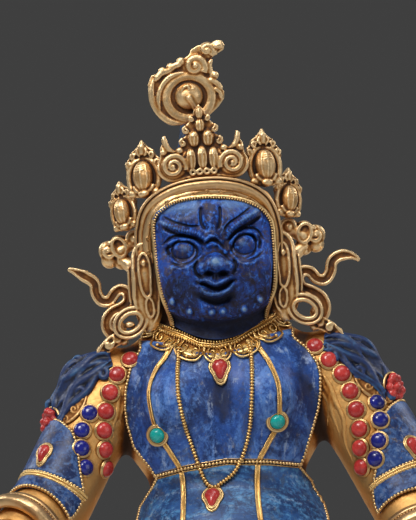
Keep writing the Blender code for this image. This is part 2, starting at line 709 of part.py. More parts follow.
def add_cord_on(name, surface, points, diameter, colour="gilt", sides=6, steps=4):
    """A round wire laid over a surface, through points (x, z) that a viewer in front sees."""
    flat = smooth_path([Vector((x, 0, z)) * PART for x, z in points], steps)
    path, normals = [], []
    for p in flat:
        hit, normal = surface.facing(p.x, p.z, diameter)
        path.append(hit + normal * diameter / 2)
        normals.append(normal)
    for _ in range(6):
        inside = [(a + b * 2 + c) / 4 for a, b, c in zip(path, path[1:], path[2:])]
        path = [path[0]] + inside + [path[-1]]
        for i in range(len(path) - 1):
            for t in (0, 1 / 3, 2 / 3, 1):
                short = surface.shortage(path[i].lerp(path[i + 1], t), diameter / 2 + 1.3 * SEAM)
                path[i] = path[i] + normals[i] * short
                path[i + 1] = path[i + 1] + normals[i + 1] * short
    curve = bpy.data.curves.new(name, "CURVE")
    curve.dimensions = "3D"
    curve.bevel_depth = diameter / 2
    curve.bevel_resolution = (sides - 4) // 2
    curve.use_fill_caps = True
    line = curve.splines.new("POLY")
    line.points.add(len(path) - 1)
    for target, p in zip(line.points, path):
        target.co = (*p, 1.0)
    wire = bpy.data.objects.new(name, curve)
    statue.objects.link(wire)
    graph = bpy.context.evaluated_depsgraph_get()
    mesh = bpy.data.meshes.new_from_object(wire.evaluated_get(graph))
    bpy.data.objects.remove(wire)
    bm = bmesh.new()
    bm.from_mesh(mesh)
    bmesh.ops.remove_doubles(bm, verts=bm.verts, dist=1e-6)
    return add_object(name, bm, colour)


CHAIN = [(-39, 164), (-41, 151), (-41.5, 128), (-38, 103), (-31, 76), (-25, 53), (-20, 41), (-14, 37), (-6, 41),
         (8, 52), (19, 73), (26.5, 98), (30.5, 123), (32.5, 148), (32.5, 164)]
STRAPS = {
    "right": [(-52, 167), (-62, 156), (-70, 136), (-68.5, 111), (-64, 94), (-54, 75), (-45, 56), (-44, 34),
              (-47, 4), (-52, -36), (-56, -66)],
    "left": [(44, 165), (50, 154), (56, 135), (56, 115), (53, 95), (41, 75), (31, 57), (28, 28), (29, -3),
             (31, -40), (32, -66)]}


def make_necklaces(surface):
    made = [add_cord_on("bead_chain", surface, CHAIN, CHAIN_DIAMETER, steps=2)]
    for side, line in STRAPS.items():
        made.append(add_cord_on(f"strap_{side}", surface, line, STRAP_DIAMETER, steps=2))
    return made


# The stones, each a separate cabochon set just clear of what carries it

def add_dome(bm, matrix, radius, height, drop=0.0):
    """A cabochon with a flat back: drop draws its upper end out, or its lower end if it is below 0."""
    rings = []
    for share, rise in ((1.0, 0.0), (0.84, 0.62)):
        ring = []
        for i in range(8):
            angle = math.pi * (i + 0.5) / 4
            x, y = share * math.cos(angle), share * math.sin(angle)
            pull = max(0.0, y * drop)
            ring.append(bm.verts.new(matrix @ Vector((
                x * radius * (1 - 0.45 * pull), y * radius * (1 + pull), rise * height))))
        rings.append(ring)
    top = bm.verts.new(matrix @ Vector((0, 0, height)))
    bm.faces.new(list(reversed(rings[0])))
    for i in range(8):
        j = (i + 1) % 8
        for low, high in zip(rings, rings[1:]):
            bm.faces.new((low[i], low[j], high[j], high[i]))
        bm.faces.new((rings[-1][i], rings[-1][j], top))


def clearance(surface, at, facing, right, up, reach):
    """How far a flat back of this reach must stand off a point of the surface to clear it all."""
    rise = 0.0
    for ring in (0.3, 0.6, 0.85, 1.0, 1.12):
        for i in range(24):
            angle = math.pi * i / 12
            foot = at + (right * math.cos(angle) + up * math.sin(angle)) * reach * ring
            hit, _, _, distance = surface.tree.ray_cast(foot + facing * 0.02, -facing, 0.03)
            if hit is not None:
                rise = max(rise, 0.02 - distance)
    return rise


def add_stone(name, surface, x, z, diameter, height, colour, drop=0.0):
    """A domed stone at x, z of the front view, lying along the surface there."""
    radius = diameter / 2
    at, facing = surface.facing(x * PART, z * PART, radius)
    upward = Vector((0, 0, 1))
    up = (upward - facing * upward.dot(facing)).normalized()
    right = up.cross(facing)
    rise = clearance(surface, at, facing, right, up, radius * (1 + abs(drop)))
    matrix = Matrix((right, up, facing)).transposed().to_4x4()
    matrix.translation = at + facing * (rise + SEAM)
    bm = bmesh.new()
    add_dome(bm, matrix, radius, height, drop)
    return add_object(name, bm, colour)


CORAL_STRANDS = {
    "right": (7, [(-87, 167), (-100, 156), (-108, 141), (-114, 124), (-118, 105), (-119, 85), (-119, 65),
                  (-124, 47), (-132, 31)]),
    "left": (8, [(97, 167), (107, 155), (119, 142), (127, 123), (132, 103), (134, 83), (133, 62), (134, 41),
                 (141, 22), (150, 6)])}
LAPIS_STRANDS = {
    "right": (4, [(-131, 119), (-140, 102), (-142, 83), (-138, 63), (-130, 46)]),
    "left": (4, [(153, 107), (154, 88), (151, 68), (147, 47), (141, 30)])}


def strand(path, count, pitch):
    """Evenly spaced places along a path, from its top."""
    points = smooth_path([Vector((x, 0, z)) * PART for x, z in path], 10)
    places, walked = [], 0.0
    for a, b in zip(points, points[1:]):
        length = (b - a).length
        while len(places) < count and len(places) * pitch <= walked + length:
            p = a.lerp(b, (len(places) * pitch - walked) / length)
            places.append((p.x / PART, p.z / PART))
        walked += length
    return places


def make_stones(surface):
    dome = 0.36
    strands = (("coral", CORAL_STRANDS, CORAL_DIAMETER), ("lapis_bead", LAPIS_STRANDS, LAPIS_BEAD_DIAMETER))
    for kind, sides, diameter in strands:
        for side, (count, path) in sides.items():
            places = strand(path, count, diameter + STONE_SPACING)
            for i, (x, z) in enumerate(places, 1):
                add_stone(f"{kind}_{side}_{i}", surface, x, z, diameter, dome * diameter, kind)
    for side, x, z in (("right", -65, 93), ("left", 53, 98)):
        add_stone(f"turquoise_{side}", surface, x, z, TURQUOISE_DIAMETER, 0.45 * TURQUOISE_DIAMETER,
                  "turquoise")
    add_stone("coral_drop_collar", surface, 1, 154, 0.92 * CORAL_DIAMETER, 0.4 * CORAL_DIAMETER, "coral",
              drop=-0.5)
    add_stone("coral_drop_chain", surface, -16, 29, 0.92 * CORAL_DIAMETER, 0.4 * CORAL_DIAMETER, "coral",
              drop=-0.5)


def make_arm_drops(side, chain, surface):
    """A coral drop on the front of the armlet, and a carved coral flower on its outer side."""
    for name, share, degrees, width in (("drop", 0.475, 42, 0.75), ("flower", 0.36, 96, 1.1)):
        origin, facing = arm_ray(chain, share, degrees)
        at = origin + facing * surface.wall(origin, facing, 60 * PART)
        up = -arm_frame(chain, share)[1]
        right = up.cross(facing).normalized()
        up = facing.cross(right)
        radius = width * CORAL_DIAMETER / 2
        rise = clearance(surface, at, facing, right, up, radius)
        matrix = Matrix((right, up, facing)).transposed().to_4x4()
        matrix.translation = at + facing * (rise + SEAM)
        bm = bmesh.new()
        add_dome(bm, matrix, radius, 0.4 * CORAL_DIAMETER)
        add_object(f"coral_{name}_armlet_{side}", bm, "coral")


# The crown: an arched band, four side leaves, a jewelled middle leaf and the crest

BAND_HALF = [(66, 262), (67, 287), (62, 309), (53, 321.5), (38, 330.5), (20, 335.5), (0, 337)]
LEAF_HALF = [(0, -3), (9, -1), (15, 5), (19, 16), (17, 24), (20, 30), (18, 38), (13, 41), (12, 47), (6, 51),
             (0, 58)]
SIDE_LEAVES = {
    "crown_leaf_inner": dict(x=61, y=-26, z=332, size=0.96, yaw=20, roll=2),
    "crown_leaf_outer": dict(x=85, y=-8, z=303, size=0.84, yaw=34, roll=10)}
MIDDLE_HALF = [(0, 346), (12, 345), (20, 343), (32, 341), (42, 347), (46, 356), (42, 366), (41, 375), (35, 385),
               (31, 375), (26, 371), (21, 373), (20, 382), (14, 386), (14, 396), (8, 401), (5, 410), (0, 416)]
MIDDLE_BULBS = [(0, 364, 6, 11), (10.5, 363, 5.5, 10), (6, 383, 5.5, 7.5), (0, 395, 5, 6.5), (0, 408, 3.5, 6),
                (0, 351, 4.5, 4), (10.5, 351, 4.5, 4)]
VOLUTE = (30, 356, 14)


def make_crown(surface):
    half = [(-x, z) for x, z in BAND_HALF]
    add_cord_on("crown_band", surface, half + list(reversed(BAND_HALF[:-1])), BAND_DIAMETER, steps=2)
    depth = LEAF_THICKNESS / PART
    for name, spec in SIDE_LEAVES.items():
        for side, sign in (("right", -1), ("left", 1)):
            bm = bmesh.new()
            add_plate(bm, mirrored(LEAF_HALF), 0, depth)
            add_ellipsoid(bm, grid(0, 1, 24), grid(10, 7, 15))
            size = Matrix.Scale(spec["size"], 4)
            turn = Matrix.Rotation(math.radians(sign * spec["yaw"]), 4, "Z")
            roll = Matrix.Rotation(math.radians(sign * spec["roll"]), 4, "Y")
            tilt = Matrix.Rotation(math.radians(-6), 4, "X")
            place = Matrix.Translation(grid(sign * spec["x"], spec["y"], spec["z"]))
            leaf = add_object(f"{name}_{side}", bm, "gilt")
            leaf.data.transform(place @ turn @ roll @ tilt @ size)
            nestle(fuse(leaf, TRINKET_VOXEL, 1, LEAF_TRIANGLES), surface, (-sign, 0, -1), 5.0)
    bm = bmesh.new()
    front = -44
    add_plate(bm, mirrored(MIDDLE_HALF), front, front + depth + 2)
    for x, z, wide, tall in MIDDLE_BULBS:
        for sign in {-1, 1} if x else {1}:
            add_ellipsoid(bm, grid(sign * x, front, z), grid(wide, 6, tall), segments=14)
    for sign in (-1, 1):
        x, z, radius = VOLUTE
        add_ellipsoid(bm, grid(sign * x, front, z), grid(radius, 7, radius))
    middle = fuse(add_object("crown_leaf_middle", bm, "gilt"), TRINKET_VOXEL, 1, MIDDLE_TRIANGLES)
    nestle(middle, surface, (0, 1, 0))


CREST = [
    (-17, 398), (-3, 401), (-1, 405), (11, 405.5), (20, 413), (26.5, 421), (27, 428), (21, 435), (17, 443),
    (17, 453), (15, 461), (22, 465.5), (29.5, 469.5), (31, 474), (25, 478.5), (16, 476.5), (4.5, 475.5),
    (-3, 471.8), (-6, 465), (-15, 462.5), (-19, 457), (-26, 456), (-36, 451.5), (-44.5, 449), (-48.5, 440),
    (-48.5, 427), (-44, 414), (-36, 404), (-27, 398)]
CREST_BOSS = (-10, 428, 13)
CREST_LOBE = ((-4, 452), (12, 4, 10))
CREST_STEM = ((-2, 416), (4.5, 8, 9), 40)
CREST_CURLS = 7
CREST_FRONT = -22
CREST_BACK = -11


def make_crest(surface):
    bm = bmesh.new()
    add_plate(bm, list(reversed(CREST)), CREST_FRONT, CREST_BACK)
    x, z, radius = CREST_BOSS
    add_ellipsoid(bm, grid(x, CREST_FRONT, z), grid(radius, 9, radius))
    (lobe_x, lobe_z), lobe_radii = CREST_LOBE
    add_ellipsoid(bm, grid(lobe_x, CREST_FRONT, lobe_z), grid(*lobe_radii))
    (stem_x, stem_z), stem_radii, stem_turn = CREST_STEM
    turned = Matrix.Rotation(math.radians(stem_turn), 4, "Y")
    add_ellipsoid(bm, grid(stem_x, CREST_FRONT, stem_z), grid(*stem_radii), turned)
    for turn in range(CREST_CURLS):
        angle = math.radians(95 + 28 * turn)
        rim = grid(x + 29 * math.cos(angle), CREST_FRONT, z - 4 + 25 * math.sin(angle))
        add_ellipsoid(bm, rim, grid(7, 3.5, 7), segments=12)
    nestle(fuse(add_object("crest", bm, "gilt"), TRINKET_VOXEL, 1, CREST_TRIANGLES), surface, (0, 1, 0))


# The bows beside the ears, with their flying ribbons, ring earrings and leafy ends

ROSETTE_LOBES = [(105, 277, 11), (95, 288, 9), (93, 265, 9), (106, 268, 8)]
EAR_BOSS = (79, 288, 8)
BOW_DEPTH = 8
RIGHT_RIBBON = [(-143, 263), (-129, 256), (-117, 247), (-117, 234), (-109, 227), (-101, 231), (-94, 239),
                (-86, 234), (-88, 224), (-99, 217), (-109, 209), (-108, 196), (-97, 190)]
LEFT_RIBBON = [(149, 249), (136, 256), (122, 252), (119, 240), (112, 232), (103, 237), (95, 244), (87, 238),
               (90, 228), (101, 221), (110, 212), (109, 199), (98, 192)]
EARRING = dict(x=87, z=205, long=14, short=10, tilt=28, thick=4.2)
TUFT = [((99, -8, 193), 6), ((109, -12, 187), 6), ((119, -14, 178), 6), ((124, -14, 171), 4)]
EAR_STRIP = [((83, 0, 276), 7), ((85, -4, 250), 8), ((85, -8, 225), 8), ((87, -16, 208), 6)]


def make_bow(side, sign, ribbon, surface):
    bm = bmesh.new()
    aside = lambda x, y, z: grid(HEAD_CENTRE + sign * x, y, z)
    for x, z, radius in ROSETTE_LOBES:
        add_ellipsoid(bm, aside(x, BOW_DEPTH, z), grid(radius, 6, radius), segments=14)
    x, z, radius = EAR_BOSS
    add_ellipsoid(bm, aside(x, BOW_DEPTH - 2, z), grid(radius, 8, radius), segments=14)
    add_limb(bm, [(aside(82, BOW_DEPTH, 282), 6 * PART), (aside(96, BOW_DEPTH, 276), 7 * PART)])
    strip = [((x, y - 8, z), radius) for (x, y, z), radius in EAR_STRIP]
    add_limb(bm, joints_of(strip, aside))
    add_limb(bm, [(aside(84, BOW_DEPTH - 6, 262), 7 * PART), (aside(92, BOW_DEPTH, 268), 6 * PART)])
    path = smooth_path([grid(x, BOW_DEPTH - 10, z) for x, z in ribbon], 4)
    add_sweep(bm, path, RIBBON_WIDTH / 2, RIBBON_THICKNESS / 2)
    ring, tilt = [], math.radians(EARRING["tilt"])
    for i in range(25):
        angle = 2 * math.pi * i / 24
        u, v = EARRING["long"] * math.cos(angle), EARRING["short"] * math.sin(angle)
        ring.append(aside(
            EARRING["x"] + u * math.cos(tilt) - v * math.sin(tilt), -26,
            EARRING["z"] + u * math.sin(tilt) + v * math.cos(tilt)))
    for a, b in zip(ring, ring[1:]):
        add_limb(bm, [(a, EARRING["thick"] * PART), (b, EARRING["thick"] * PART)])
    tuft = [((x, y - 14, z), radius) for (x, y, z), radius in TUFT]
    add_limb(bm, joints_of(tuft, aside))
    bow = fuse(add_object(f"ear_bow_{side}", bm, "gilt"), TRINKET_VOXEL, 1, BOW_TRIANGLES)
    nestle(bow, surface, (-sign, 0, 0), 3.0)


# The low oval lotus base

PETALS = 20
BASE_PROFILE = [
    # share of the height, share of the half width, whether the petals show there
    (0.0, 1.0, 0), (0.18, 1.0, 0), (0.28, 0.93, 0), (0.42, 0.96, 1), (0.62, 0.98, 1), (0.80, 0.88, 0.4),
    (0.84, 0.87, 0), (0.92, 0.90, 0), (1.0, 0.89, 0)]
PETAL_DEPTH = 0.0034


def make_base():
    bm = bmesh.new()
    sides = PETALS * 2
    rings = []
    for height, wide, petal in BASE_PROFILE:
        ring = []
        for i in range(sides):
            angle = 2 * math.pi * i / sides
            inset = PETAL_DEPTH * petal if i % 2 else 0.0
            across = BASE_WIDTH / 2 * wide - inset
            deep = BASE_DEPTH / 2 * wide - inset
            ring.append(bm.verts.new((across * math.cos(angle), deep * math.sin(angle), BASE_HEIGHT * height)))
        rings.append(ring)
    for low, high in zip(rings, rings[1:]):
        for i in range(0, sides, 2):
            for j in (i - 1, (i + 1) % sides):
                corners = [low[i], low[j], high[j], high[i]]
                bm.faces.new((corners[0], corners[1], corners[3]))
                bm.faces.new((corners[1], corners[2], corners[3]))
    bm.faces.new(list(reversed(rings[0])))
    bm.faces.new(rings[-1])
    return add_object("lotus_base", bm, "gilt", leaning=False)


make_base()
figure = make_figure()
skin = Surface(figure)
make_face(skin)
plates = make_torso_plates(skin)
for arm_side, arm in (("right", RIGHT_ARM), ("left", LEFT_ARM)):
    plates += make_arm_plates(arm_side, arm, skin)
    make_bracelet(arm_side, arm, skin)
dressed = Surface(figure, *plates)
for arm_side, arm in (("right", RIGHT_ARM), ("left", LEFT_ARM)):
    make_armlet(arm_side, arm, skin)
collar = make_collar(dressed)
over_collar = Surface(figure, collar, *plates)
wires = make_necklaces(dressed)
jewelled = Surface(figure, collar, *plates, *wires)
make_stones(jewelled)
for arm_side, arm in (("right", RIGHT_ARM), ("left", LEFT_ARM)):
    make_arm_drops(arm_side, arm, jewelled)
make_crown(skin)
make_crest(skin)
make_bow("right", -1, RIGHT_RIBBON, over_collar)
make_bow("left", 1, LEFT_RIBBON, over_collar)
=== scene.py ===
# The looks of a standing, pot-bellied Jambhala in gilt copper, faced with lapis lazuli and set
# with coral, lapis and turquoise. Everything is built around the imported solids, in metres.
import json
import math

import bpy
import numpy as np
from mathutils import Matrix, Vector
from mathutils.bvhtree import BVHTree
from mathutils.geometry import tessellate_polygon

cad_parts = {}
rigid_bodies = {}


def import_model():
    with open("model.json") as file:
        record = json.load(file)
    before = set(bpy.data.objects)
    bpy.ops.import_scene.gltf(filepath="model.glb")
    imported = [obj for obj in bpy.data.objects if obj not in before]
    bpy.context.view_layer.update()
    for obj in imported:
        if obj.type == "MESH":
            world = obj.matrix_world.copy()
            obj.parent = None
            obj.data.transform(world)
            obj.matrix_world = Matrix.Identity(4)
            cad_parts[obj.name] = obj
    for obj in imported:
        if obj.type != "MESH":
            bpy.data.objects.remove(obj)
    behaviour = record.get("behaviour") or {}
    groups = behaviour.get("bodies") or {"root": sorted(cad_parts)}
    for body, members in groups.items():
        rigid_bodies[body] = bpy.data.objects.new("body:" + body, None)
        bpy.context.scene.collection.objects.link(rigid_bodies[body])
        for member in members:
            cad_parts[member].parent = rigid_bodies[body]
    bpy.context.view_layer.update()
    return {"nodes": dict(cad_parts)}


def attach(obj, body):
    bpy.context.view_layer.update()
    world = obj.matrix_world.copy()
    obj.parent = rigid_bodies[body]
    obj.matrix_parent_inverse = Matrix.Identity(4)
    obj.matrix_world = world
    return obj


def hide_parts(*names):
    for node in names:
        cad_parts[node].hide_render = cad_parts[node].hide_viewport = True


for old in list(bpy.data.objects):
    bpy.data.objects.remove(old)

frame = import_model()

# The figure is drawn on an upright grid, x to the viewer's right, y back, z up, 0 at the belly.
# The whole grid leans on the hips, as in the solids.
figureHeight, baseHeight, seam = 0.273, 0.034, 0.0003
gridHeight, soleLevel = 760, -278
part = figureHeight / gridHeight
lean = math.radians(4.5)
hip = Vector((0.001, 0, baseHeight + seam - soleLevel * part))
intoWorld = Matrix.Translation(hip) @ Matrix.Rotation(-lean, 4, "Y")


def unit(v):
    v = np.asarray(v, float)
    return v / np.maximum(np.linalg.norm(v, axis=-1, keepdims=True), 1e-12)


def onGround(chain):
    # a chain given on the level ground, turned into the leaning figure
    turn = np.array(Matrix.Rotation(lean, 3, "Y"))
    return [(tuple(turn @ np.array(centre, float)), radius) for centre, radius in chain]


def smoothLine(points, steps):
    # a smooth curve through a few chosen points
    points = np.asarray(points, float)
    before = np.vstack([points[:1], points[:-1]])[:-1]
    start, end = points[:-1], points[1:]
    after = np.vstack([points[2:], points[-1:]])
    t = (np.arange(steps) / steps)[None, :, None]
    a, b, c, d = (x[:, None, :] for x in (before, start, end, after))
    line = 0.5 * (2 * b + (c - a) * t + (2 * a - 5 * b + 4 * c - d) * t ** 2
                  + (3 * b - a - 3 * c + d) * t ** 3)
    return np.vstack([line.reshape(-1, points.shape[1]), points[-1:]])


def lengthsAlong(line):
    return np.concatenate([[0], np.cumsum(np.linalg.norm(np.diff(line, axis=0), axis=1))])


def valuesAt(goal, lengths, line):
    return np.stack([np.interp(goal, lengths, column) for column in line.T], -1)


def evenly(line, pitch):
    # the same line walked in equal steps
    line = np.asarray(line, float)
    lengths = lengthsAlong(line)
    count = max(2, int(round(lengths[-1] / pitch)) + 1)
    return valuesAt(np.linspace(0, lengths[-1], count), lengths, line)


def circle(count):
    return 2 * math.pi * np.arange(count) / count


def spots(x, y, z):
    # points from their three measures, each an array or one number for all
    return np.stack(np.broadcast_arrays(x, y, z), -1)


def eased(values, times):
    # evened out along a line, with its ends kept
    for _ in range(times):
        values[1:-1] = (values[:-2] + 2 * values[1:-1] + values[2:]) / 4
    return values


def gridFaces(rows, columns, closed=False):
    i = np.arange(columns if closed else columns - 1)
    j = (i + 1) % columns
    low = (np.arange(rows - 1) * columns)[:, None]
    return np.stack([low + i, low + j, low + columns + j, low + columns + i], -1).reshape(-1, 4)


def readOff(pairs, value):
    xs, ys = zip(*pairs)
    return np.interp(value, xs, ys)


def flipped(sign, line):
    return [(sign * x, z) for x, z in line]


def spiral(cx, cz, radius, turns, start, hand, inner=0.12, steps=14):
    # a flat scroll that winds in to its eye, as (x, z) points from outside in
    n = max(6, int(abs(turns) * steps))
    t = np.linspace(0, 1, n)
    angle = math.radians(start) + hand * t * turns * 2 * math.pi
    r = radius * (1 - (1 - inner) * t ** 0.85)
    return np.stack([cx + r * np.cos(angle), cz + r * np.sin(angle)], 1)


class Form:
    # points and faces gathered with numpy, in grid parts

    def __init__(self):
        self.points, self.faces, self.total = [], [], 0

    def add(self, points, *faces):
        points = np.asarray(points, float).reshape(-1, 3)
        self.points.append(points)
        self.faces += [np.asarray(f, np.int64) + self.total for f in faces if len(f)]
        self.total += len(points)
        return self

    def ball(self, centre, radii, around, up=8):
        radii = np.broadcast_to(np.asarray(radii, float), 3)
        lift = np.linspace(0, math.pi, up + 1)[1:-1]
        spin = circle(around)
        rings = np.stack([np.outer(np.sin(lift), np.cos(spin)), np.outer(np.sin(lift), np.sin(spin)),
                          np.outer(np.cos(lift), np.ones(around))], -1).reshape(-1, 3)
        points = np.vstack([rings, [[0, 0, 1], [0, 0, -1]]]) * radii
        i = np.arange(around)
        j = (i + 1) % around
        rows = np.arange(up - 2)[:, None] * around
        quads = np.stack([rows + i, rows + around + i, rows + around + j, rows + j], -1).reshape(-1, 4)
        last = (up - 2) * around
        north, south = (up - 1) * around, (up - 1) * around + 1
        caps = np.vstack([np.stack([np.full(around, north), i, j], 1),
                          np.stack([last + i, np.full(around, south), last + j], 1)])
        return self.add(points + np.asarray(centre, float), quads, caps)

    def rings(self, rings, closed=False):
        # a skin over a stack of rings, an array (rows, corners, 3)
        rings = np.asarray(rings, float)
        rows, sides, _ = rings.shape
        i = np.arange(sides)
        j = (i + 1) % sides
        steps = np.arange(rows if closed else rows - 1)
        low, high = (steps * sides)[:, None], ((steps + 1) % rows * sides)[:, None]
        quads = np.stack([low + i, low + j, high + j, high + i], -1).reshape(-1, 4)
        points = rings.reshape(-1, 3)
        if closed:
            return self.add(points, quads)
        points = np.vstack([points, rings[0].mean(0), rings[-1].mean(0)])
        first, last, end = rows * sides, rows * sides + 1, (rows - 1) * sides
        fans = np.vstack([np.stack([np.full(sides, first), j, i], 1),
                          np.stack([np.full(sides, last), end + i, end + j], 1)])
        return self.add(points, quads, fans)

    def sheet(self, grid):
        # a skin over a grid of points, an array (rows, columns, 3)
        return self.add(grid, gridFaces(*grid.shape[:2]))

    def slab(self, outer, inner, closed=False):
        # a plate between two grids of points, with its edges closed
        rows, columns, _ = outer.shape
        n = rows * columns
        i = np.arange(columns if closed else columns - 1)
        j = (i + 1) % columns
        front = gridFaces(rows, columns, closed)
        back = front[:, ::-1] + n
        end = (rows - 1) * columns
        rims = [np.stack([j, i, n + i, n + j], 1), np.stack([end + i, end + j, n + end + j, n + end + i], 1)]
        if not closed:
            r = np.arange(rows - 1) * columns
            rims.append(np.stack([r, r + columns, n + r + columns, n + r], 1))
            r = r + columns - 1
            rims.append(np.stack([r + columns, r, n + r, n + r + columns], 1))
        return self.add(np.vstack([outer.reshape(-1, 3), inner.reshape(-1, 3)]), front, back, *rims)

    def sweep(self, line, out, profile, scale=None, closed=False):
        # a profile of (across, outward) points, carried along a line whose outward side is given
        line = np.asarray(line, float)
        if closed:
            along = unit(np.roll(line, -1, 0) - np.roll(line, 1, 0))
        else:
            along = unit(np.gradient(line, axis=0))
        out = np.broadcast_to(np.asarray(out, float), line.shape)
        across = unit(np.cross(along, out))
        out = np.cross(across, along)
        profile = np.broadcast_to(np.asarray(profile, float), (len(line), *np.shape(profile)))
        if scale is not None:
            profile = profile * np.asarray(scale, float).reshape(-1, 1, 1)
        rings = line[:, None] + profile[..., :1] * across[:, None] + profile[..., 1:] * out[:, None]
        return self.rings(rings[:, ::-1], closed)

    def wire(self, line, radius, out=(0, -1, 0), sides=8, closed=False, taper=0, squash=1.0):
        # a round wire; taper thins that share of its length towards each end
        line = np.asarray(line, float)
        angle = circle(sides)
        profile = np.stack([np.cos(angle) * radius, np.sin(angle) * radius * squash], 1)
        scale = np.ones(len(line))
        if taper:
            t = np.linspace(0, 1, len(line))
            scale = np.clip(np.minimum(t, 1 - t) / taper, 0.15, 1) ** 0.6
        return self.sweep(line, out, profile, scale, closed)

    def limb(self, joints, around=20):
        # tapered round lengths with a ball at each joint, each joint (centre, radius)
        for centre, radius in joints:
            self.ball(centre, radius, around=around, up=around // 2)
        for (a, ra), (b, rb) in zip(joints, joints[1:]):
            a, b = np.asarray(a, float), np.asarray(b, float)
            along = unit(b - a)
            side = unit(np.cross(along, [0.3, 1, 0.2]))
            other = np.cross(along, side)
            angle = circle(around)
            ring = np.outer(np.cos(angle), side) + np.outer(np.sin(angle), other)
            self.rings([a + ring * ra, b + ring * rb])
        return self

    def smoothLimb(self, joints, around):
        # the same, rounded through its joints; its line and radii come back
        line = smoothLine([centre for centre, _ in joints], 5)
        last = len(joints) - 1
        radii = np.interp(np.linspace(0, last, len(line)), range(last + 1), [r for _, r in joints])
        self.limb(list(zip(line, radii)), around)
        return line, radii

    def beads(self, places, along, radius, around, up, long=1.0):
        # many small balls at once, drawn out along the wire that they sit on
        base = Form().ball((0, 0, 0), 1, around=around, up=up)
        points = base.points[0]
        places = np.asarray(places, float)
        along = unit(np.broadcast_to(along, places.shape))
        guess = np.where(np.abs(along[:, :1]) < 0.9, [[1.0, 0, 0]], [[0, 1.0, 0]])
        side = unit(np.cross(along, guess))
        other = np.cross(along, side)
        radius = np.broadcast_to(np.asarray(radius, float), len(places))[:, None, None]
        turned = (points[None, :, 0:1] * side[:, None] + points[None, :, 1:2] * other[:, None]
                  + points[None, :, 2:3] * along[:, None] * long)
        moved = places[:, None] + turned * radius
        steps = np.arange(len(places))[:, None, None] * len(points)
        faces = [(f[None] + steps).reshape(-1, f.shape[1]) for f in base.faces]
        return self.add(moved, *faces)

    def join(self, other, matrix):
        m = np.array(matrix, float)
        return self.add(np.vstack(other.points) @ m[:3, :3].T + m[:3, 3], *other.faces)

    def mesh(self, scale=part):
        mesh = bpy.data.meshes.new("form")
        points = np.vstack(self.points) * scale
        mesh.vertices.add(len(points))
        mesh.vertices.foreach_set("co", points.astype(np.float32).ravel())
        corners = np.concatenate([f.ravel() for f in self.faces]).astype(np.int32)
        sizes = np.concatenate([np.full(len(f), f.shape[1]) for f in self.faces])
        mesh.loops.add(len(corners))
        mesh.loops.foreach_set("vertex_index", corners)
        mesh.polygons.add(len(sizes))
        starts = np.concatenate([[0], np.cumsum(sizes)[:-1]]).astype(np.int32)
        mesh.polygons.foreach_set("loop_start", starts)
        mesh.update(calc_edges=True)
        return mesh


# How each piece is finished off: hollows found, placed in the world, tied to the frame

def pointsOf(mesh, what="co"):
    store = mesh.vertices if what == "co" else mesh.vertex_normals
    values = np.empty(len(mesh.vertices) * 3, np.float32)
    store.foreach_get("co" if what == "co" else "vector", values)
    return values.reshape(-1, 3).astype(float)


grooveDepth = 0.00012    # a groove this deep counts as wholly hollow


def addLayer(mesh, name, values):
    mesh.attributes.new(name, "FLOAT", "POINT").data.foreach_set("value", values.astype(np.float32).ravel())


def markHollows(mesh, reach):
    # how deep in a groove (above 0) or how far out on an edge (below 0) each point lies
    points, normals = pointsOf(mesh), pointsOf(mesh, "normal")
    edges = np.empty(len(mesh.edges) * 2, np.int32)
    mesh.edges.foreach_get("vertices", edges)
    a, b = edges.reshape(-1, 2).T
    count = np.maximum(np.bincount(a, minlength=len(points)) + np.bincount(b, minlength=len(points)), 1)

    def spread(values):
        total = np.bincount(a, values[b], len(points)) + np.bincount(b, values[a], len(points))
        return total / count

    blurred = points.copy()
    for _ in range(reach):
        blurred = np.stack([0.4 * blurred[:, k] + 0.6 * spread(blurred[:, k]) for k in range(3)], 1)
    hollow = np.einsum("ij,ij->i", blurred - points, normals)
    for _ in range(2):
        hollow = 0.5 * hollow + 0.5 * spread(hollow)
    addLayer(mesh, "hollow", np.clip(hollow / grooveDepth, -1, 1))
    addLayer(mesh, "rear", np.clip(normals[:, 1] * 1.6 - 0.35, 0, 1))


def placed(name, data):
    made = bpy.data.objects.new(name, data)
    bpy.context.scene.collection.objects.link(made)
    return made


def melted(mesh, voxel, smoothing):
    # overlapping closed forms become one skin, with softened joins
    made = placed("melting", mesh)
    skin = made.modifiers.new("skin", "REMESH")
    skin.mode = "VOXEL"
    skin.voxel_size = voxel
    soften = made.modifiers.new("soften", "SMOOTH")
    soften.iterations = smoothing
    graph = bpy.context.evaluated_depsgraph_get()
    result = bpy.data.meshes.new_from_object(made.evaluated_get(graph))
    bpy.data.objects.remove(made)
    bpy.data.meshes.remove(mesh)
    return result


def finishPiece(name, mesh, finish, nodes=(), leaning=True, hollows=3):
    mesh.name = name
    if leaning:
        mesh.transform(intoWorld)
    mesh.shade_smooth()
    markHollows(mesh, hollows)
    mesh.materials.clear()
    mesh.materials.append(finish)
    piece = placed(name, mesh)
    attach(piece, "root")
    if nodes:
        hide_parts(*nodes)
    return piece


# Shader maths, written as Python: a wire is one socket's value

class Wire:
    def __init__(self, finish, socket):
        self.finish, self.socket = finish, socket

    def maths(self, operation, a, b):
        return self.finish.node("Math", {"operation": operation}, {0: a, 1: b})

    def __add__(self, other):
        return self.maths("ADD", self, other)

    def __radd__(self, other):
        return self.maths("ADD", other, self)

    def __sub__(self, other):
        return self.maths("SUBTRACT", self, other)

    def __rsub__(self, other):
        return self.maths("SUBTRACT", other, self)

    def __mul__(self, other):
        return self.maths("MULTIPLY", self, other)

    def __rmul__(self, other):
        return self.maths("MULTIPLY", other, self)

    def between(self, low, high, toLow=0.0, toHigh=1.0):
        # a soft step from low to high
        return self.finish.node("MapRange", {"interpolation_type": "SMOOTHSTEP"}, {
            "Value": self, "From Min": low, "From Max": high, "To Min": toLow, "To Max": toHigh}, "Result")


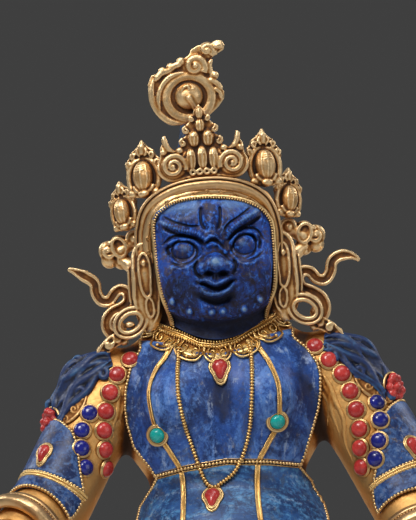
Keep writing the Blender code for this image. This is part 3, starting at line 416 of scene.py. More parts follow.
class Finish:
    def __init__(self, name, roughness=0.4, metallic=0.0, coat=0.0):
        self.material = bpy.data.materials.new(name)
        self.material.use_nodes = True
        self.tree = self.material.node_tree
        self.shader = self.tree.nodes["Principled BSDF"]
        self.shader.inputs["Roughness"].default_value = roughness
        self.shader.inputs["Metallic"].default_value = metallic
        self.shader.inputs["Coat Weight"].default_value = coat
        self.place = self.node("TexCoord", {}, {}, "Object")

    def node(self, kind, settings, sockets, out=0):
        made = self.tree.nodes.new("ShaderNode" + kind)
        for key, value in settings.items():
            setattr(made, key, value)
        for key, value in sockets.items():
            if isinstance(value, Wire):
                self.tree.links.new(value.socket, made.inputs[key])
            elif isinstance(value, tuple) and made.inputs[key].type == "RGBA":
                made.inputs[key].default_value = (*value, 1.0)
            else:
                made.inputs[key].default_value = value
        return Wire(self, made.outputs[out])

    def feed(self, name, wire):
        self.tree.links.new(wire.socket, self.shader.inputs[name])

    def noise(self, size, detail, stretch=(1, 1, 1), rough=0.55, warp=0.0):
        # soft random patches about size metres across
        place = self.node("VectorMath", {"operation": "MULTIPLY"}, {0: self.place, 1: stretch})
        return self.node("TexNoise", {}, {
            "Vector": place, "Scale": 0.6 / size, "Detail": detail, "Roughness": rough,
            "Distortion": warp}, "Fac")

    def mix(self, share, low, high):
        return self.node("Mix", {"data_type": "RGBA"}, {0: share, 6: low, 7: high}, 2)

    def carried(self, name):
        return self.node("Attribute", {"attribute_name": name}, {}, "Fac")

    def occlusionShade(self, reach):
        # ambient occlusion: 0 in the open, towards 1 where other surfaces crowd in; mostly used as painted
        # shade
        return 1 - self.node("AmbientOcclusion", {"samples": 8}, {"Distance": reach}, "AO")

    def bump(self, height, depth, distance):
        self.feed("Normal", self.node("Bump", {}, {"Strength": depth, "Distance": distance, "Height": height}))


# the crowding reach is how far the ambient occlusion looks for painted shade; the soot colour is soot and
# painted shade in one
giltLook = {
    "pale": (0.92, 0.67, 0.37),
    "warm": (0.62, 0.345, 0.125),
    "patina": (0.27, 0.105, 0.030),
    "sootAndShade": (0.050, 0.022, 0.010),
    "redPaint": (0.34, 0.012, 0.012),
    "paintedShadeReach": 0.0030,
    "rough": (0.42, 0.70),
    "age": 0.10,
    "patchy": 1.2,
}
castLook = dict(giltLook, pale=(0.76, 0.51, 0.26), age=0.50)
filigreeLook = dict(giltLook, pale=(0.88, 0.60, 0.24), warm=(0.70, 0.38, 0.09), paintedShadeReach=0.0012,
                    rough=(0.34, 0.62), age=0.0)
beadLook = dict(giltLook, pale=(0.78, 0.54, 0.25), warm=(0.46, 0.27, 0.095), paintedShadeReach=0.0012,
                rough=(0.36, 0.64))
bodyGiltLook = dict(giltLook, pale=(0.76, 0.44, 0.155), warm=(0.54, 0.235, 0.055), patina=(0.24, 0.082, 0.018),
                    paintedShadeReach=0.010, rough=(0.56, 0.84), age=0.22, patchy=2.3)


def makeGilt(name, look, painted=0.0, grimeAndShade=1.0):
    # fire gilding: pale on the edges, warm in the middle, brown patina in the grooves, and soot with painted
    # shade, near black, in the deepest grooves and where other parts crowd in
    f = Finish(name, 0.36, 1.0)
    hollow = f.carried("hollow")
    crowdedShade = f.occlusionShade(look["paintedShadeReach"])
    patches = f.noise(0.006, 4, warp=0.6)
    fine = f.noise(0.0009, 3)
    # grooves and ambient occlusion push the colour dark: patina and wear mixed with painted shade
    wearAndPaintedLight = (hollow * (1.15 * grimeAndShade) + crowdedShade * (1.5 * grimeAndShade) + (patches - 0.5) * look["patchy"]
            + (fine - 0.5) * 0.5 + look["age"])
    colour = f.mix(wearAndPaintedLight.between(-0.30, 0.28), look["pale"], look["warm"])
    colour = f.mix(wearAndPaintedLight.between(0.22, 0.78), colour, look["patina"])
    colour = f.mix(wearAndPaintedLight.between(0.80, 1.45), colour, look["sootAndShade"])
    metal = wearAndPaintedLight.between(0.75, 1.45, 1.0, 0.35)
    low, high = look["rough"]
    rough = wearAndPaintedLight.between(-0.3, 1.0, low, high) + (fine - 0.5) * 0.22
    if painted:
        red = (f.carried("rear") + (patches - 0.5) * 0.5 + crowdedShade * 0.35).between(0.30, 0.55) * painted
        colour = f.mix(red, colour, look["redPaint"])
        metal = metal * (1 - red)
        rough = rough + red * 0.2
    f.feed("Base Color", colour)
    f.feed("Metallic", metal)
    f.feed("Roughness", rough)
    f.bump(fine + f.noise(0.0028, 2) * 1.8, 0.55, 0.00026)
    return f.material


# the face's aged and bleached colours are wear with painted highlight; stained is grime with painted shade
faceLook = {
    "deep": (0.006, 0.015, 0.085), "mid": (0.010, 0.050, 0.290), "light": (0.026, 0.150, 0.640),
    "earth": (0.046, 0.028, 0.030), "tan": (0.150, 0.105, 0.085), "pale": (0.20, 0.29, 0.46),
    "stretch": (1, 1, 0.8), "scratch": (1, 1, 0.5), "paleShare": 0.26, "earthShare": 0.82, "patch": 0.0042,
    "earthFrom": 0.49, "soft": 0.08,
    "wearAndHighlight": (0.110, 0.250, 0.560), "paleHighlightAndWear": (0.26, 0.37, 0.47), "shadeAndStainColour": (0.007, 0.009, 0.024)}
chestLook = {
    "deep": (0.010, 0.032, 0.135), "mid": (0.026, 0.094, 0.380), "light": (0.090, 0.220, 0.580),
    "earth": (0.040, 0.040, 0.072), "tan": (0.230, 0.215, 0.220), "pale": (0.36, 0.44, 0.58),
    "stretch": (1, 1, 0.62), "scratch": (1, 1, 0.12), "paleShare": 0.62, "earthShare": 0.55, "patch": 0.0085,
    "earthFrom": 0.53, "soft": 0.13}
bellyLook = {
    "deep": (0.011, 0.038, 0.125), "mid": (0.024, 0.096, 0.290), "light": (0.075, 0.255, 0.520),
    "earth": (0.042, 0.046, 0.068), "tan": (0.190, 0.185, 0.185), "pale": (0.32, 0.40, 0.52),
    "stretch": (0.50, 1, 1), "scratch": (0.16, 1, 1), "paleShare": 0.50, "earthShare": 0.55, "patch": 0.0080,
    "earthFrom": 0.52, "soft": 0.12}
armLook = {
    "deep": (0.009, 0.022, 0.088), "mid": (0.019, 0.062, 0.215), "light": (0.060, 0.135, 0.330),
    "earth": (0.075, 0.048, 0.040), "tan": (0.270, 0.200, 0.150), "pale": (0.28, 0.32, 0.42),
    "stretch": (1, 1, 1), "scratch": (0.4, 1, 0.4), "paleShare": 0.50, "earthShare": 0.80, "patch": 0.0058,
    "earthFrom": 0.50, "soft": 0.10}


lapisShadow = (0.004, 0.006, 0.020)


def makeLapis(name, look):
    # blue stone with pale calcite clouds, dark earthy patches, fine scratches and speckle
    f = Finish(name, 0.42)
    f.shader.inputs["Specular IOR Level"].default_value = 0.34
    size, soft = look["patch"], look["soft"]
    clouds = f.noise(size, 6, look["stretch"], 0.66, 0.8)
    wisps = f.noise(size * 0.42, 6, look["stretch"], 0.70, 1.2)
    veins = f.noise(size * 0.75, 7, look["stretch"], 0.74, 1.8)
    scratches = f.noise(0.0016, 5, look["scratch"], 0.66, 0.3)
    speckle = f.noise(0.0008, 4, rough=0.72)
    hollow = f.carried("hollow")
    cloudy = (clouds + (speckle - 0.5) * 0.45).between(0.50 - soft, 0.50 + soft)
    colour = f.mix(cloudy, look["deep"], look["mid"])
    lit = (wisps + (speckle - 0.5) * 0.5 - hollow * 0.10).between(0.59 - soft, 0.59 + soft)
    colour = f.mix(lit, colour, look["light"])
    earth = (veins + (speckle - 0.5) * 0.55 + hollow * 0.10).between(
        look["earthFrom"], look["earthFrom"] + 0.10) * look["earthShare"]
    colour = f.mix(earth, colour, look["earth"])
    pale = (scratches * 0.62 + wisps * 0.38 + (speckle - 0.5) * 0.30).between(0.54, 0.66) * look["paleShare"]
    colour = f.mix(pale, colour, look["pale"])
    grit = (f.noise(0.0013, 5, rough=0.75) + (veins - 0.5) * 0.5).between(0.62, 0.72) * 0.5
    colour = f.mix(grit, colour, look["tan"])
    wearAndHighlight = "wearAndHighlight" in look
    if wearAndHighlight:
        # on the face: paler where worn and under painted highlights, darker where grimy and under painted shade
        wearAndPaintedLight = (f.carried("wearAndPaintedLight") + (speckle - 0.5) * 0.5 + (wisps - 0.5) * 0.6).between(0.25, 0.95) * 0.85
        colour = f.mix(wearAndPaintedLight, colour, look["wearAndHighlight"])
        colour = f.mix(wearAndPaintedLight.between(0.60, 0.88) * 0.65, colour, look["paleHighlightAndWear"])
        shadeAndStain = (f.carried("shadeAndStain") + (veins - 0.5) * 1.7 + (speckle - 0.5) * 0.6).between(0.20, 0.85) * 0.90
        colour = f.mix(shadeAndStain, colour, look["shadeAndStainColour"])
    # painted shade: the stone goes near black in its crevices and grooves
    paintedShade = (f.occlusionShade(0.0022) + hollow * 0.60).between(0.14, 0.90) * 0.92
    f.feed("Base Color", f.mix(paintedShade, colour, lapisShadow))
    rough = (speckle * 0.35 + earth * 0.2 + paintedShade * 0.2).between(0.05, 0.5, 0.36, 0.62)
    f.feed("Roughness", rough + shadeAndStain * 0.35 if wearAndHighlight else rough)
    f.bump(speckle + veins * 0.8 + scratches * 0.6, 0.30, 0.00018)
    return f.material


# root is the near-black painted shade between the strands; edge is the teal of painted highlight and lighter
# paint
hairLook = {"root": (0.002, 0.004, 0.016), "strand": (0.007, 0.026, 0.110), "edge": (0.034, 0.135, 0.300)}


def makeHairPaint(name):
    # thick blue paint over copper, with near-black painted shade in the grooves between strands and teal
    # painted highlight, mixed with lighter patches, along the strands' edges
    f = Finish(name, 0.5)
    hollow = f.carried("hollow")
    patches = f.noise(0.004, 4, warp=0.5)
    fine = f.noise(0.0007, 3)
    colour = f.mix((hollow + (fine - 0.5) * 0.5).between(-0.25, 0.35), hairLook["strand"], hairLook["root"])
    # painted highlight on the ridges, with random teal patches
    tealPatchesAndHighlight = ((patches - 0.5) * 1.8 - hollow * 0.75).between(0.12, 0.75) * 0.8
    f.feed("Base Color", f.mix(tealPatchesAndHighlight, colour, hairLook["edge"]))
    f.feed("Roughness", fine.between(0.2, 0.8, 0.36, 0.62))
    f.bump(fine, 0.3, 0.0002)
    return f.material


stoneLooks = {
    "coral": ((0.60, 0.050, 0.042), (0.38, 0.022, 0.020), (0.74, 0.13, 0.10), 0.26),
    "lapis_bead": ((0.010, 0.016, 0.250), (0.006, 0.010, 0.120), (0.030, 0.050, 0.420), 0.20),
    "turquoise": ((0.003, 0.50, 0.46), (0.004, 0.36, 0.33), (0.03, 0.60, 0.56), 0.26),
}


def makeStoneFinish(kind):
    # a polished stone: slow clouds, a few darker specks, a soft sheen
    body, dark, light, rough = stoneLooks[kind]
    f = Finish(kind + "Stone", rough, 0.0, 0.25)
    clouds = f.noise(0.003, 4, warp=0.7)
    specks = f.noise(0.0006, 3, rough=0.7)
    colour = f.mix(clouds.between(0.35, 0.65), dark, body)
    colour = f.mix((clouds * 0.5 + specks * 0.5).between(0.55, 0.75) * 0.5, colour, light)
    colour = f.mix(specks.between(0.68, 0.76) * 0.5, colour, dark)
    f.feed("Base Color", colour)
    f.feed("Roughness", specks.between(0.2, 0.8, rough - 0.07, rough + 0.12))
    f.bump(specks + clouds, 0.10, 0.00012)
    return f.material


gilt = makeGilt("castGilt", castLook)
crownGilt = makeGilt("crownGilt", giltLook, painted=0.85, grimeAndShade=1.5)
bodyGilt = makeGilt("bodyGilt", bodyGiltLook)
filigree = makeGilt("filigreeGilt", filigreeLook, grimeAndShade=0.8)
beadGilt = makeGilt("beadGilt", beadLook, grimeAndShade=1.4)
faceLapis = makeLapis("faceLapis", faceLook)
chestLapis = makeLapis("chestLapis", chestLook)
bellyLapis = makeLapis("bellyLapis", bellyLook)
armLapis = makeLapis("armLapis", armLook)
hairPaint = makeHairPaint("hairPaint")
stones = {kind: makeStoneFinish(kind) for kind in stoneLooks}
print("finishes mixed:", len(bpy.data.materials))


# The gilt casting: body, arms and legs, on the same grid as the solids

sides = (("right", -1), ("left", 1))   # the statue's own sides, and which way they lie from its middle

body = {
    "skin": 0.0016, "softening": 15,
    "torso": [(-120, -8, 34, 30), (-104, -10, 74, 60), (-75, -15, 98, 79), (-42, -18, 106, 87),
              (-10, -17, 99, 83), (15, -12, 87, 73), (32, -7, 78, 63), (44, -3, 78, 58), (58, 0, 87, 60),
              (72, 1, 96, 62), (90, 2, 100, 64), (120, 4, 100, 66), (148, 6, 100, 62), (168, 8, 96, 55),
              (182, 8, 86, 48), (194, 8, 70, 42), (205, 6, 52, 38), (228, 4, 42, 38)],
    "headCentre": 3,
    "head": ((3, 8, 262), (62, 52, 68)),
    "jaw": ((3, -2, 226), (56, 44, 40)),
    "hood": [((60, -8, 214), 8), ((62, -14, 228), 9), ((63, -18, 245), 10), ((62, -21, 285), 11),
             ((53, -25, 316), 12), ((30, -29, 330), 12), ((0, -31, 335), 12)],
    "shoulderLock": [((106, -6, 176), 9), ((124, -10, 166), 12), ((142, -12, 150), 13), ((155, -12, 132), 10),
                     ((166, -12, 112), 6)],
    "rightArm": [((-98, 4, 140), 40), ((-118, 0, 121), 40), ((-146, -17, 78), 38), ((-174, -38, 30), 38),
                 ((-204, -76, 6), 33), ((-228, -112, -10), 21)],
    "leftArm": [((100, 4, 142), 40), ((123, 0, 120), 41), ((150, -14, 70), 41), ((174, -32, 16), 40),
                ((187, -74, -28), 34), ((194, -112, -64), 21)],
    "chestSwell": ((38, -24, 122), (40, 44, 44)),
    "bentLeg": [((-44, 2, -92), 54), ((-116, -46, -140), 44), ((-100, -20, -196), 33), ((-92, -4, -240), 25)],
    "straightLeg": [((44, 2, -92), 54), ((92, -18, -160), 43), ((108, -8, -206), 33), ((112, 2, -242), 25)],
}


def addBody(form):
    spin = circle(36)
    form.rings([spots(w * np.cos(spin), y + d * np.sin(spin), z) for z, y, w, d in body["torso"]])
    for centre, radii in (body["head"], body["jaw"]):
        form.ball(centre, radii, around=28, up=16)
    (x, y, z), radii = body["chestSwell"]
    for side in (-1, 1):
        form.ball((side * x, y, z), radii, around=24, up=12)
        form.limb([((body["headCentre"] + side * hx, hy, hz), r) for (hx, hy, hz), r in body["hood"]])
        form.limb([((side * lx, ly, lz), r) for (lx, ly, lz), r in body["shoulderLock"]])
    for chain in (body["rightArm"], body["leftArm"], onGround(body["bentLeg"]), onGround(body["straightLeg"])):
        form.limb(chain, 26)
    return form


def surfaceOf(mesh):
    return BVHTree.FromPolygons([tuple(p) for p in pointsOf(mesh)], [tuple(f.vertices) for f in mesh.polygons])


def frontOf(tree, x, z, missed=None):
    # the grid's depth that a viewer in front sees at x, z, or what stands in where there is none
    point = tree.ray_cast(Vector((x * part, -1, z * part)), Vector((0, 1, 0)))[0]
    return missed if point is None else point.y / part


def readFront(tree, line, missed):
    # the depths and the outward directions that a viewer in front meets along a line of (x, z)
    depths, outs = [], []
    for x, z in line:
        point, normal, _, _ = tree.ray_cast(Vector((x * part, -1, z * part)), Vector((0, 1, 0)))
        depths.append(missed(x, z) if point is None else point.y / part)
        outs.append((0, -1, 0) if point is None else tuple(normal if normal.y < 0 else -normal))
    return np.array(depths), np.array(outs, float)


def lifted(line, depths, outs, lift, blur):
    outs = unit(eased(outs, blur))
    return spots(line[:, 0], eased(depths, blur), line[:, 1]) + outs * lift, outs


def laid(line, lift, fallback, blur):
    # a line of (x, z) laid on the casting's front, as grid points and the outward directions there
    def nearest(x, z):
        return castTree.find_nearest(Vector((x * part, fallback * part, z * part)))[0].y / part

    line = np.asarray(line, float)
    return lifted(line, *readFront(castTree, line, nearest), lift, blur)


castMesh = melted(addBody(Form()).mesh(), body["skin"], body["softening"])
castTree = surfaceOf(castMesh)
print("casting:", len(castMesh.polygons))

hands = {
    "skin": 0.00075,
    "rightPalm": [((-214, -92, 0), 27), ((-228, -112, -10), 20), ((-236, -130, -14), 20)],
    "leftPalm": [((191, -95, -48), 27), ((194, -112, -64), 20), ((197, -130, -76), 20)],
    "jewel": ((-240, -138, 22), (18, 20)),
    "rightFingers": [
        [((-250, -138, -16), 7), ((-262, -142, 4), 6.5), ((-259, -143, 20), 6)],
        [((-241, -146, -16), 7), ((-246, -160, 2), 6.5), ((-245, -158, 20), 6)],
        [((-230, -146, -14), 7), ((-228, -161, 4), 6.5), ((-229, -159, 20), 6)],
        [((-222, -130, -8), 8), ((-214, -138, 6), 7), ((-217, -142, 22), 6)]],
    "leftFingers": [
        [((206, -140, -84), 8), ((214, -164, -70), 7.5), ((212, -168, -52), 7)],
        [((194, -142, -86), 8), ((198, -168, -72), 7.5), ((197, -171, -54), 7)],
        [((182, -138, -84), 8), ((180, -166, -74), 7.5), ((181, -170, -58), 7)],
        [((206, -122, -62), 8), ((222, -128, -46), 7), ((216, -142, -34), 6)]],
    "mongoose": [((162, -134, -92), 10), ((166, -140, -74), 14), ((186, -150, -58), 18), ((212, -148, -50), 17),
                 ((228, -142, -34), 13), ((238, -144, -24), 13), ((250, -148, -24), 9)],
    "mongooseEars": [((234, -136, -12), 6), ((236, -152, -12), 6)],
    "mongooseTail": [((162, -134, -92), 10), ((158, -128, -112), 8), ((164, -124, -128), 7)],
}


def addFingers(form, fingers):
    for finger in fingers:
        form.smoothLimb(finger, 12)
        tip = np.array(finger[-1][0], float)
        form.ball(tip + [0, -finger[-1][1] * 0.75, 1.0], (3.2, 1.6, 4.0), around=10, up=6)  # the nail


def makeHands():
    form = Form().limb(hands["rightPalm"]).limb(hands["leftPalm"])
    addFingers(form, hands["rightFingers"] + hands["leftFingers"])
    # the flaming jewel in the right hand, ribbed, with a drawn-out tip
    (jx, jy, jz), (jr, jh) = hands["jewel"]
    form.ball((jx, jy, jz), (jr, jr, jh), around=24, up=14)
    rise = np.linspace(-1.25, 1.3, 12)
    for a in circle(10):
        reach = jr * np.cos(rise)
        rib = spots(jx + reach * math.cos(a), jy + reach * math.sin(a), jz + jh * np.sin(rise))
        form.wire(rib, 1.6, out=(math.cos(a), math.sin(a), 0), sides=6)
    form.ball((jx, jy, jz + jh - 2), (6, 6, 5), around=14)
    # the mongoose across the left forearm
    line, radii = form.smoothLimb(hands["mongoose"], 18)
    form.limb(hands["mongooseTail"], 14)
    for centre, r in hands["mongooseEars"]:
        form.ball(centre, (r, r * 0.7, r), around=12)
    for side in (-1, 1):
        form.ball((246, -144 + side * 7, -18), 2.6, around=10)     # its eyes
        form.ball((258, -148 + side * 3, -26), 2.2, around=10)     # and nostrils
    for k in range(9):
        i = int((0.12 + 0.085 * k) * (len(line) - 1))
        a = np.linspace(-1.9, 0.9, 10)
        r = radii[i] + 0.3
        fold = spots(line[i, 0] + a * 2.0, line[i, 1] - r * np.cos(a), line[i, 2] + r * np.sin(a))
        form.wire(fold, 1.3, out=(0, -1, 0.4), sides=6, taper=0.3)  # fur in soft bands
    mesh = melted(form.mesh(), hands["skin"], 2)
    finishPiece("hands_jewel_and_mongoose", mesh, bodyGilt)


feet = {
    "skin": 0.0008,
    "bent": [((-90, 12, -258), 21), ((-106, -24, -260), 20), ((-122, -56, -265), 17)],
    "straight": [((112, 16, -258), 21), ((124, -22, -260), 20), ((136, -56, -265), 17)],
    "toe": 5.4,
}


def makeFeet():
    form = Form()
    for chain, side in ((feet["bent"], -1), (feet["straight"], 1)):
        heel, _, ball = [np.array(c, float) for c, _ in chain]
        along = unit(ball - heel)
        across = np.array([-along[1], along[0], 0]) * -side
        for k in range(5):
            root = ball + across * (k - 2) * 6.6 + along * (4 - abs(k - 1.4) * 1.6)
            r = feet["toe"] * (1.25 if k == 0 else 1.0 - 0.06 * k)
            tip = root + along * (9 - k * 1.2)
            tip[2] = root[2] = soleLevel + r * 0.9
            form.limb(onGround([(tuple(root), r), (tuple(tip), r * 0.95)]), 12)
        form.limb(onGround([(c, r - 1.5) for c, r in chain]), 22)
    up = np.array(Matrix.Rotation(lean, 3, "Y") @ Vector((0, 0, 1)))
    # the soles stay flat on the lotus
    form.points = [chunk - np.minimum(chunk @ up - soleLevel, 0)[:, None] * up for chunk in form.points]
    mesh = melted(form.mesh(), feet["skin"], 2)
    finishPiece("feet", mesh, bodyGilt)


# The painted blue hair: combed up the back of the head into a cone, with locks on the shoulders

hair = {
    "mass": [((0, 26, 300), 46), ((0, 32, 262), 50), ((0, 36, 215), 42), ((0, 42, 170), 30)],
    "knot": [((0, 10, 322), 34), ((0, 10, 358), 25), ((-3, 6, 392), 16), ((-4, 4, 412), 11)],
    "combed": 25, "wound": 15, "strand": 2.5,
    "bareSkin": 0.0016, "skin": 0.0009, "lockSkin": 0.00042, "leafSkin": 0.00034,
    "roots": [(150, 38), (200, 30), (262, 20), (330, 10)],
    "coneRadius": [(330, 31), (358, 24), (392, 15), (412, 10), (420, 3)],
    "coneX": [(330, 0), (392, -3), (420, -4)], "coneY": [(330, 10), (358, 10), (420, 4)],
    "lock": [(106, 170), (122, 166), (138, 156), (151, 141), (161, 125), (168, 110)],
    "lockLeaf": [(134, 143), (140, 131), (148, 121), (158, 113), (169, 106)],
}


def makeHair():
    form = Form().limb(hair["mass"], 28).limb(hair["knot"], 28)
    tree = surfaceOf(melted(form.mesh(), hair["bareSkin"], 4))
    for k in range(hair["combed"]):
        turn = math.radians(-96 + 192 * k / (hair["combed"] - 1))
        line = []
        for z in np.linspace(150, 330, 26):
            sway = turn + 0.05 * math.sin(z / 13 + k * 1.7)
            root = Vector((0, readOff(hair["roots"], z) * part, z * part))
            hit = tree.ray_cast(root, Vector((math.sin(sway), math.cos(sway), 0)))[0]
            if hit is not None:
                line.append(np.array(hit) / part)
        if len(line) > 4:
            outs = unit(np.array(line) * [1, 1, 0] - [0, 20, 0])
            form.wire(line, hair["strand"] + 0.6 * (k % 2), out=outs, taper=0.08)
    for k in range(hair["wound"]):
        z = np.linspace(330, 418, 30)
        turn = 2 * math.pi * k / hair["wound"] + (z - 330) / 62
        r, cx, cy = (readOff(hair[name], z) for name in ("coneRadius", "coneX", "coneY"))
        line = spots(cx + r * np.cos(turn), cy + r * np.sin(turn), z)
        form.wire(line, 3.0, out=unit(line - spots(cx, cy, z)), taper=0.06)
    mesh = melted(form.mesh(), hair["skin"], 1)
    finishPiece("blue_hair", mesh, hairPaint)


def makeShoulderLocks():
    for side, sign in sides:
        form = Form()
        spine = smoothLine(flipped(sign, hair["lock"]), 9)
        along = unit(np.gradient(spine, axis=0))
        across = np.stack([along[:, 1], -along[:, 0]], 1) * -sign
        t = np.linspace(0, 1, len(spine))
        for k, shift in enumerate((-13, -6.5, 0, 6.5, 12.5)):
            wave = 2.6 * np.sin(t * (10 + k) + k * 2.1)
            wide = 0.55 + 0.45 * np.sin(math.pi * np.clip(t * 1.1, 0, 1))
            line = spine + across * (shift * wide + wave * wide)[:, None]
            end = int(len(line) * (1.0 - 0.08 * (k % 3)))
            points, outs = laid(line[:end], 1.8 + (k % 2) * 1.2, -10, 5)
            form.wire(points, 4.4 + 0.6 * (k % 2), out=outs, sides=10, taper=0.22, squash=0.8)
            ridge = evenly(points, 3.0)
            for lift in (-1.5, 1.5):
                form.wire(ridge + [lift, -3.2, lift * 0.6], 1.1, sides=6, taper=0.2)
        for at, shift, r in ((0.16, -13, 6.5), (0.34, 12, 6.0), (0.55, -13, 6.5), (0.80, 10, 5.5),
                             (0.98, 0, 6.5)):
            i = int(at * (len(spine) - 1))
            cx, cz = spine[i] + across[i] * shift
            curl = spiral(cx, cz, r, 1.1, 60 + 300 * at, sign)
            points, outs = laid(curl, 2.6, -10, 4)
            form.wire(points, 3.1, out=outs, taper=0.2)
        points, outs = laid(spine, 0.6, -10, 3)
        form.sweep(points, outs, [(-12, -3), (12, -3), (11, 2), (0, 3.2), (-11, 2)],
                   0.6 + 0.5 * np.sin(math.pi * t))
        mesh = melted(form.mesh(), hair["lockSkin"], 2)
        finishPiece(f"shoulder_lock_{side}", mesh, hairPaint)
        # the gilt scroll strip under the lock
        leaf = smoothLine(flipped(sign, hair["lockLeaf"]), 8)
        form = Form()
        points, outs = laid(leaf, 0.9, -10, 3)
        t = np.linspace(0, 1, len(leaf))
        swell = 0.45 + 0.75 * np.sin(math.pi * t)
        form.sweep(points, outs, [(-8, -2), (8, -2), (8, 0.6), (6.6, 1.6), (4.6, 0.4), (0, 0.9), (-4.6, 0.4),
                                  (-6.6, 1.6), (-8, 0.6)], swell)
        for at, r, hand in ((0.20, 5.0, 1), (0.45, 5.6, -1), (0.70, 5.0, 1), (0.92, 4.2, -1)):
            i = int(at * (len(leaf) - 1))
            points, outs = laid(spiral(*leaf[i], r, 1.5, 200 * at, hand), 2.0, -10, 3)
            form.wire(points, 1.1, out=outs, sides=6, taper=0.15)
        mesh = melted(form.mesh(), hair["leafSkin"], 1)
        finishPiece(f"shoulder_leaf_{side}", mesh, gilt)


# The lapis face, carved as one relief over the front of the head

plateThickness = 0.0013 / part

face = {
    "centre": 4.0, "rows": 228, "columns": 194,
    "halfWidth": [(0.0, 48), (0.1, 50), (0.2, 52.5), (0.3, 54.5), (0.5, 57.5), (0.78, 59.5), (0.9, 58),
                  (0.96, 54), (1.0, 46)],
    "chin": [(0, 199), (18, 200.5), (33, 204), (43, 208.5), (55, 214)],
    "ball": ((0, -2, 258), (83, 62, 93)),
    "brows": [[(-49.5, 302), (-42.4, 297.6), (-34.4, 293.6), (-24.6, 290.6), (-14.8, 287.6), (-7.7, 281.5)],
              [(46, 306.5), (37.2, 301), (30.3, 297.2), (23.2, 292.9), (17.9, 288.3), (13.6, 282)]],
    "browLines": [[(-47.5, 307.7), (-40.3, 303), (-30.7, 298.4), (-20.9, 295.6), (-12.5, 295.2)],
                  [(39.6, 310), (33.4, 305.5), (26.4, 301), (19.3, 297), (14, 292.6), (11.4, 287.1)]],
    "browUnder": [[(-48.6, 297), (-39.5, 291.6), (-31.5, 287.8), (-21.6, 285.2), (-13.5, 281.6), (-8.1, 275.5)],
                  [(49, 300), (41.1, 295.9), (32.4, 291.8), (25.4, 288.2), (20.1, 284.4), (15.6, 279)]],
    "thirdEye": [[(-8.6, 314), (-10.3, 306.4), (-9.9, 297.2), (-6.2, 291.1)],
                 [(8.9, 313.5), (9.1, 304.9), (8, 296.6), (5.5, 290.2)]],
    "root": [[(-8.6, 279.4), (-4.3, 283.6), (0, 284.9), (4.8, 282.6), (9.5, 275.7)],
             [(-7.5, 273.6), (-0.6, 276.6), (4.3, 275.4), (9, 271.5), (13.5, 265.3)]],
    "rootCut": [(-7.6, 277.2), (-2.4, 280), (2.8, 279.6), (7.4, 275.6), (11.4, 270)],
    "eyes": [(-28.6, 271.6, 11.9), (29.6, 272.8, 11.9)],
    "upperLids": [[(-12.4, 268.6), (-13.9, 274.1), (-17.2, 278.6), (-23.6, 282.3), (-31.9, 283.6),
                   (-39.5, 282.3), (-46.2, 277.4)],
                  [(15.6, 270), (18.1, 276.9), (22.4, 282.3), (29.3, 285.6), (36.8, 285.6), (42.5, 282.8),
                   (46.6, 276)]],
    "lowerLids": [[(-13.4, 265.4), (-21.1, 260.3), (-29.5, 258.8), (-38.5, 261.7), (-44.9, 268)],
                  [(17.4, 267), (22.5, 261.9), (29.8, 259.1), (38.3, 260.7), (45.8, 266.4)]],
    "corners": [[(-43, 279), (-45.4, 274.9), (-43.8, 268.6)], [(45, 281), (46.6, 275.3), (44.6, 268.4)]],
    "noseTop": [(-14.6, 259.7), (-8.6, 265.6), (0.4, 269), (8.8, 265.6), (16.3, 258)],
    "noseSides": [[(-16.4, 261.7), (-19.6, 255.2), (-18.4, 248.4), (-13.3, 244.3)],
                  [(18.6, 260), (20.4, 253), (17.6, 246.4)]],
    "bags": [[(-15.8, 262.4), (-23.7, 256.4), (-33.9, 254.6), (-44.7, 257.8)],
             [(20, 260.6), (28, 255), (39.7, 255.8), (48.7, 261.4)]],
    "nose": [(0.8, 257.5, 10.6, 9.6, 13.0), (-12.6, 253.6, 6.8, 6.4, 7.4), (13.8, 253, 6.8, 6.4, 7.4)],
    "nostrils": [(-6.3, 248.6, 4.6, 2.7), (6.6, 247.2, 4.6, 2.5)],
    "mouth": [(-16.6, 238.6), (-12, 237.7), (-7.2, 235.1), (-1.6, 232.5), (4.3, 233.2), (10.4, 235.6),
              (16.8, 239.5)],
    "upperLip": [(-16, 242), (-11.2, 242.4), (-6.1, 240), (-1.2, 237.2), (4.7, 238.6), (10.7, 241.2),
                 (15.8, 243)],
    "lowerLip": [(-15.4, 233.4), (-11.8, 229.2), (-4.5, 226.8), (3.9, 227), (11.7, 230.2), (15.6, 235)],
    "underLip": [(-17.6, 227), (-9.9, 221.4), (-2.5, 219.4), (5.1, 220.2), (14.4, 225)],
    "nubs": [(-45.1, 221.4), (-28.9, 210.9), (-6.8, 208.4), (4.4, 208.3), (25.8, 208.6), (42.3, 217)],
    "lumps": [
        # x, z, half width, half height, how far it stands out; all but those at 0 are on both sides
        (0, 272, 9, 18, 4), (30, 275, 19, 13, -7.5), (39, 248, 15, 15, 8), (0, 236, 22, 12, 8.5),
        (0, 210, 24, 10, 8), (0, 302, 7, 13, 4.5), (44, 304, 12, 8, 2.5), (24, 303, 10, 8, 2.5),
        (48, 232, 9, 13, 3.5), (27, 224, 9, 9, 2)],
}


def lineDistance(x, z, line):
    # each point's distance to a line, and how far along the line that is
    best, place, walked = np.full(x.shape, 1e9), np.zeros(x.shape), 0.0
    for (ax, az), (bx, bz) in zip(line, line[1:]):
        length = math.hypot(bx - ax, bz - az)
        t = np.clip(((x - ax) * (bx - ax) + (z - az) * (bz - az)) / length ** 2, 0, 1)
        away = np.hypot(x - ax - t * (bx - ax), z - az - t * (bz - az))
        nearer = away < best
        best, place = np.where(nearer, away, best), np.where(nearer, walked + t * length, place)
        walked += length
    return best, place, walked


def softStep(low, high, value):
    t = np.clip((value - low) / (high - low), 0, 1)
    return t * t * (3 - 2 * t)


